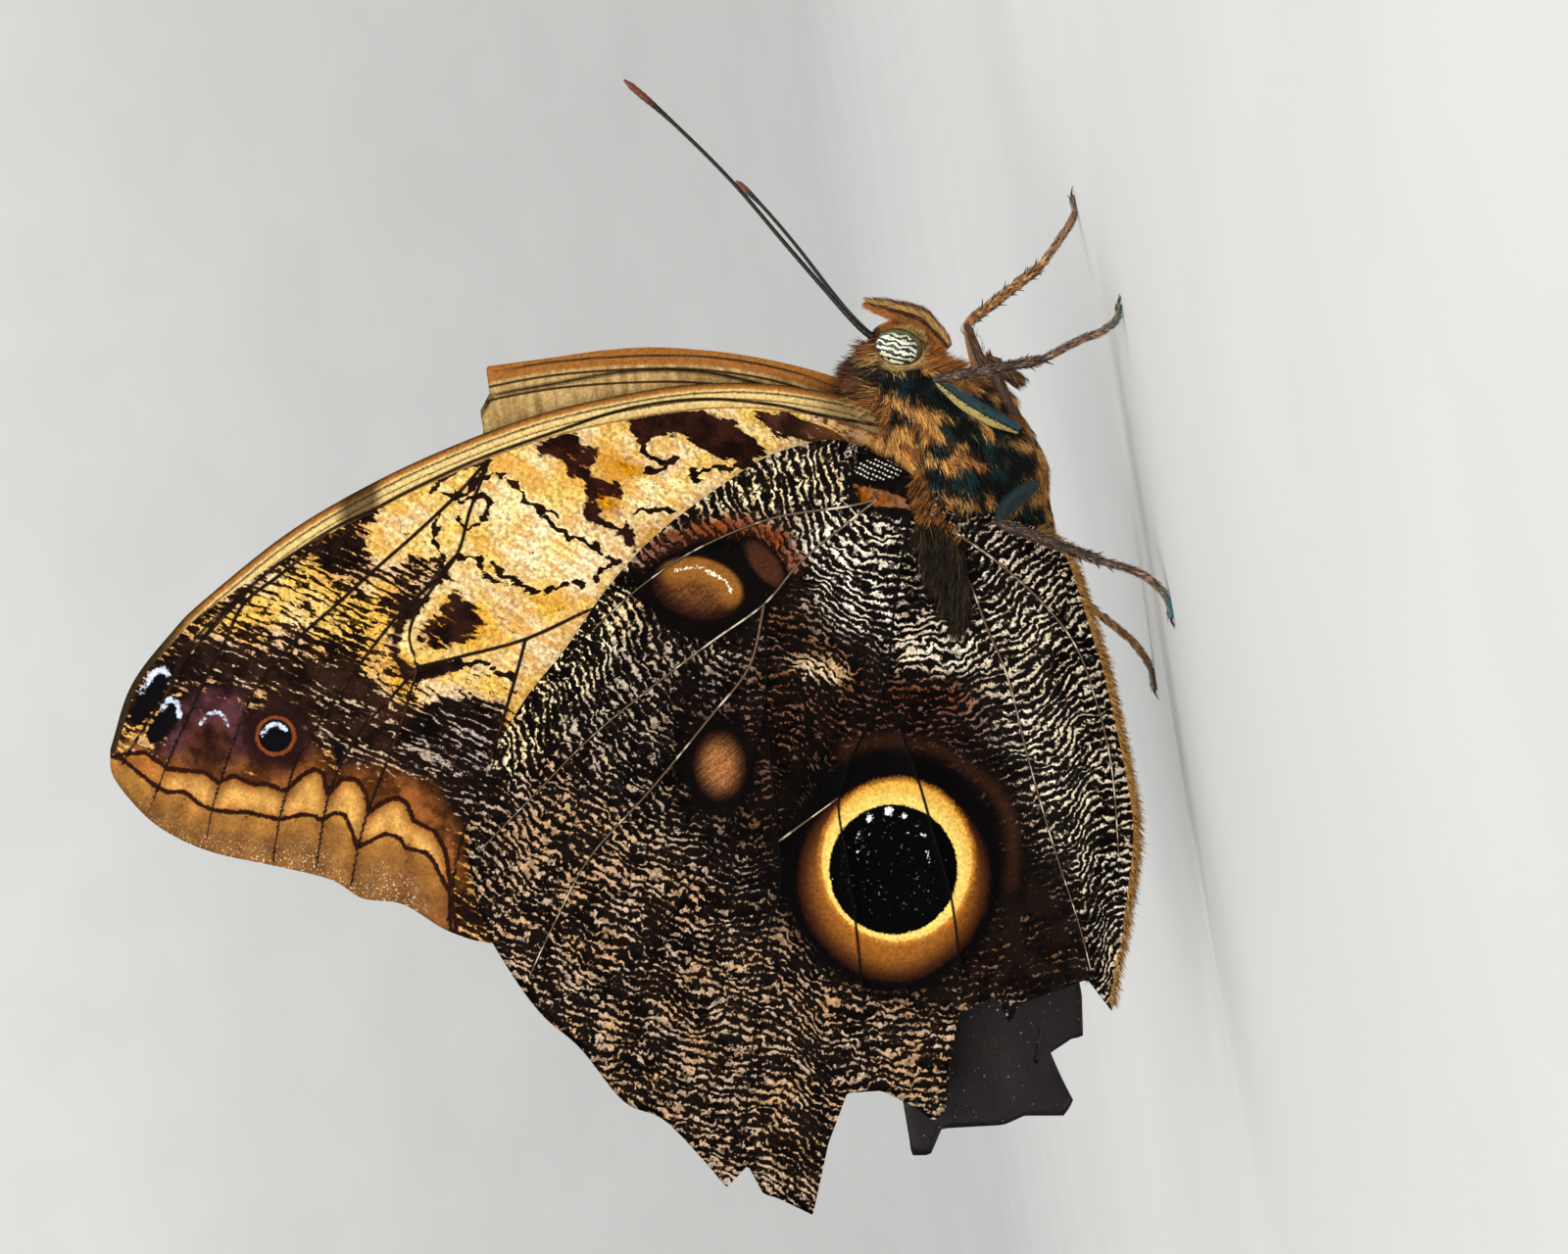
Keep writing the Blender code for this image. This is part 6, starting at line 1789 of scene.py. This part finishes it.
class BUTTERFLY_OT_head(bpy.types.Operator):
    """Build eyes, palps, tongue and antennae"""
    bl_idname = "butterfly.head"
    bl_label = "Head parts"

    def execute(self, context):
        eye, palp, hair = eye_look(), palp_look(), coat_look("palp_hair_scales", 0.5, 6.0)
        tongue = horn_look("tongue_horn", (34, 20, 16), (50, 30, 22), 0.6)
        feeler = horn_look("antenna_horn", (14, 9, 7), (100, 48, 26), 0.88)
        for name, side in (("right", RIGHT), ("left", LEFT)):
            piece = make_eye("eye_" + name + "_globe", side, eye)
            settle(piece, "eye_" + name)
            piece = make_palp("palp_" + name + "_skin", side, palp)
            settle(piece, "palp_" + name)
            path = [(u, v, y * side) for u, v, y in PALP_PATH]
            at, normal, heading, t = along_rod(path, PALP_RADII, 3200, 40 + side, (0.0, 0.97))
            edge = normal @ np.array((0.35, 0.9, 0.0))
            shade = blend((196, 128, 62), (76, 42, 24), smoothstep(-0.55, -0.3, edge))
            shade = blend(shade, (226, 178, 108), smoothstep(-0.05, 0.15, edge))
            shade = blend(shade, (104, 60, 30), smoothstep(0.5, 0.8, edge))
            wide = 0.5 + 0.35 * np.sin(math.pi * np.clip(t * 1.1, 0, 1))
            piece = tufts(f"palp_hair_{name}", at, normal, heading, 0.85 * wide + 0.25, 0.07, 0.55, shade, hair,
                          np.stack([t, 0.5 + 0.1 * edge], axis=1), 50 + side, sink=0.05)
            settle(piece)
            path = RIGHT_ANTENNA if side == RIGHT else LEFT_ANTENNA
            piece = make_antenna("antenna_" + name + "_beads", path, feeler)
            settle(piece, "antenna_" + name)
        piece = make_tongue(tongue)
        settle(piece, "proboscis")
        return {"FINISHED"}


class BUTTERFLY_OT_legs(bpy.types.Operator):
    """Build the walking legs with their claws and the folded forelegs"""
    bl_idname = "butterfly.legs"
    bl_label = "Legs"

    def execute(self, context):
        near = leg_look("leg_scales_near", (26, 72, 78), (176, 158, 96), (34, 20, 14), (78, 54, 40), (40, 96, 104))
        far = leg_look("leg_scales_far", (96, 58, 32), (150, 96, 50), (168, 104, 52), (230, 170, 100), (92, 84, 70))
        hair = coat_look("leg_hair", 0.5, 6.0)
        claw = horn_look("claw_horn", (40, 24, 18), (60, 36, 24), 0.5)
        for name in LEGS:
            limb, claws = make_leg(name, (near if name.endswith("right") else far, claw))
            settle(limb, name)
            settle(claws)
            stand = np.array(LEGS[name]) + LEG_SHIFT
            parts = []
            for path, radius, count, pale in ((stand[:2], 0.6, 160, 0.2), (stand[1:3], 0.42, 460, 0.5),
                                              (stand[2:], 0.26, 760, 0.9)):
                at, normal, heading, _ = along_rod(path, (radius,), count, 60 + count, (0.03, 0.97))
                rng = np.random.default_rng(count)
                shade = blend((60, 38, 26), (214, 178, 144), (rng.random(count) < pale) * rng.random(count))
                parts.append((at, normal, heading, shade))
            at, normal, heading, shade = (np.vstack([entry[k] for entry in parts]) for k in range(4))
            keep = at[:, 2] > 0.35
            at, normal, heading, shade = at[keep], normal[keep], heading[keep], shade[keep]
            flat = np.stack([(at[:, 0] + 50) / 100, (at[:, 2] + 5) / 40], axis=1)
            piece = tufts(name + "_bristles", at, normal, heading, 0.62, 0.06, 0.45, shade, hair, flat, 61,
                          sink=0.05, plane=False)
            settle(piece)
        for name, side in (("foreleg_right", RIGHT), ("foreleg_left", LEFT)):
            limb, runs = make_foreleg(name, side, near)
            settle(limb, name)
            parts = [along_rod(run, (0.42, 0.3), 420, 70) for run in runs]
            at, normal, heading = (np.vstack([entry[k] for entry in parts]) for k in range(3))
            shade = blend((58, 38, 27), (178, 128, 80), np.random.default_rng(71).random(len(at)) ** 2)
            flat = np.stack([(at[:, 0] + 50) / 100, (at[:, 1] + 50) / 100], axis=1)
            piece = tufts(name + "_hair", at, normal, heading, 0.9, 0.08, 0.3, shade, hair, flat, 72, sink=0.05)
            settle(piece)
        return {"FINISHED"}


class BUTTERFLY_OT_stage(bpy.types.Operator):
    """Set the pale floor, the soft lights and the camera"""
    bl_idname = "butterfly.stage"
    bl_label = "Stage"

    def execute(self, context):
        settings = context.scene.butterfly_stage
        look, n, shader = new_look("stage_paper", **{"Specular IOR Level": 0.2})
        speck = n.noise(n.place_mm(), 0.02, 2.0)
        height = n.add("ShaderNodeSeparateXYZ", {0: n.place_mm()}).outputs[2]
        # The paper is painted darker on the floor and lighter up the wall, from half to nine tenths over the first 700
        # mm of height: painted light that evens out the strongly lit floor and the shaded wall.
        paper = n.wash(np.array((0.5, 0.5, 0.49)), np.array((0.9, 0.9, 0.88)), height, 0.0, 700.0)
        n.feed(shader.inputs["Base Color"], n.tint(paper, n.step(speck, 0.3, 0.7, 0.98, 1.02)))
        shader.inputs["Roughness"].default_value = 0.85
        turn = np.arange(96) / 96 * 2 * math.pi
        bend = np.linspace(0, math.pi / 2, 25)
        radius = np.concatenate([[0.002, 0.2, 0.5, 0.8], 0.8 + 0.6 * np.sin(bend[1:]), [1.4, 1.4]])
        height = np.concatenate([[0.0] * 4, 0.6 - 0.6 * np.cos(bend[1:]), [1.0, 1.6]])
        points = np.stack([np.outer(radius, np.cos(turn)), np.outer(radius, np.sin(turn)),
                           np.outer(height, np.ones(96))], axis=-1).reshape(-1, 3)
        middle = np.arange(96)[None]
        faces = [grid_faces(len(radius), 96)[:, ::-1], middle]
        floor = new_mesh("stage_floor", points, faces, [look])
        world = bpy.data.worlds.new("stage_world")
        world.use_nodes = True
        world.node_tree.nodes["Background"].inputs[0].default_value = (0.95, 0.97, 1.0, 1.0)
        world.node_tree.nodes["Background"].inputs[1].default_value = 0.6
        context.scene.world = world
        for name, place_, size, power, tint in (
                ("key_light", (-0.12, -0.62, 0.36), 0.6, 4.5, (1.0, 0.97, 0.92)),
                ("fill_light", (0.55, -0.35, 0.30), 0.5, 1.0, (0.92, 0.96, 1.0)),
                ("top_light", (-0.05, 0.10, 0.60), 0.5, 0.5, (1.0, 1.0, 1.0)),
                ("backdrop_light", (0.0, 0.2, 1.2), 1.2, 9.0, (1.0, 1.0, 1.0))):
            lamp = bpy.data.lights.new(name, "AREA")
            lamp.shape = "DISK"
            lamp.size = size
            lamp.energy = power
            lamp.color = tint
            item = bpy.data.objects.new(name, lamp)
            context.scene.collection.objects.link(item)
            target = (0.0, 1.3, 0.3) if name == "backdrop_light" else (0.0, 0.0, 0.03)
            aim(item, place_, target, (0.0, 0.0, 1.0))
        camera = bpy.data.cameras.new("camera")
        camera.lens = settings.lens
        camera.sensor_width = 36.0
        camera.clip_start = 0.01
        camera.clip_end = 10.0
        item = bpy.data.objects.new("camera", camera)
        context.scene.collection.objects.link(item)
        eye = settings.camera_place
        aim(item, eye, (eye[0], eye[1] + 1.0, eye[2]), (math.cos(ROLL), 0.0, -math.sin(ROLL)))
        context.scene.camera = item
        context.scene.view_settings.view_transform = "Standard"
        return {"FINISHED"}


def aim(item, place_, target, above):
    """Stand a lamp or camera at a place, looking at a target with a given direction upwards."""
    back = unit(np.array(place_, float) - np.array(target, float))
    right = unit(np.cross(np.array(above, float), back))
    up = np.cross(back, right)
    turned = np.stack([right, up, back], axis=1)
    item.matrix_world = Matrix([(*row, at) for row, at in zip(turned, place_)] + [(0, 0, 0, 1)])


class BUTTERFLY_PT_panel(bpy.types.Panel):
    """The butterfly's operators, in the order in which they run"""
    bl_idname = "BUTTERFLY_PT_panel"
    bl_label = "Owl Butterfly"
    bl_space_type = "VIEW_3D"
    bl_region_type = "UI"
    bl_category = "Butterfly"

    def draw(self, context):
        for operator in OPERATORS:
            self.layout.operator(operator.bl_idname)


OPERATORS = (BUTTERFLY_OT_wings, BUTTERFLY_OT_body, BUTTERFLY_OT_coat, BUTTERFLY_OT_head, BUTTERFLY_OT_legs,
             BUTTERFLY_OT_stage)
GROUPS = {"butterfly_wings": ButterflyWings, "butterfly_coat": ButterflyCoat, "butterfly_stage": ButterflyStage}


def register():
    for group in GROUPS.values():
        bpy.utils.register_class(group)
    for name, group in GROUPS.items():
        setattr(bpy.types.Scene, name, PointerProperty(type=group))
    for operator in OPERATORS:
        bpy.utils.register_class(operator)
    bpy.utils.register_class(BUTTERFLY_PT_panel)


def unregister():
    bpy.utils.unregister_class(BUTTERFLY_PT_panel)
    for operator in reversed(OPERATORS):
        bpy.utils.unregister_class(operator)
    for name, group in GROUPS.items():
        delattr(bpy.types.Scene, name)
        bpy.utils.unregister_class(group)


def main():
    register()
    bpy.ops.butterfly.wings()
    bpy.ops.butterfly.body()
    bpy.ops.butterfly.coat()
    bpy.ops.butterfly.head()
    bpy.ops.butterfly.legs()
    bpy.ops.butterfly.stage()


if __name__ == "__main__":
    main()
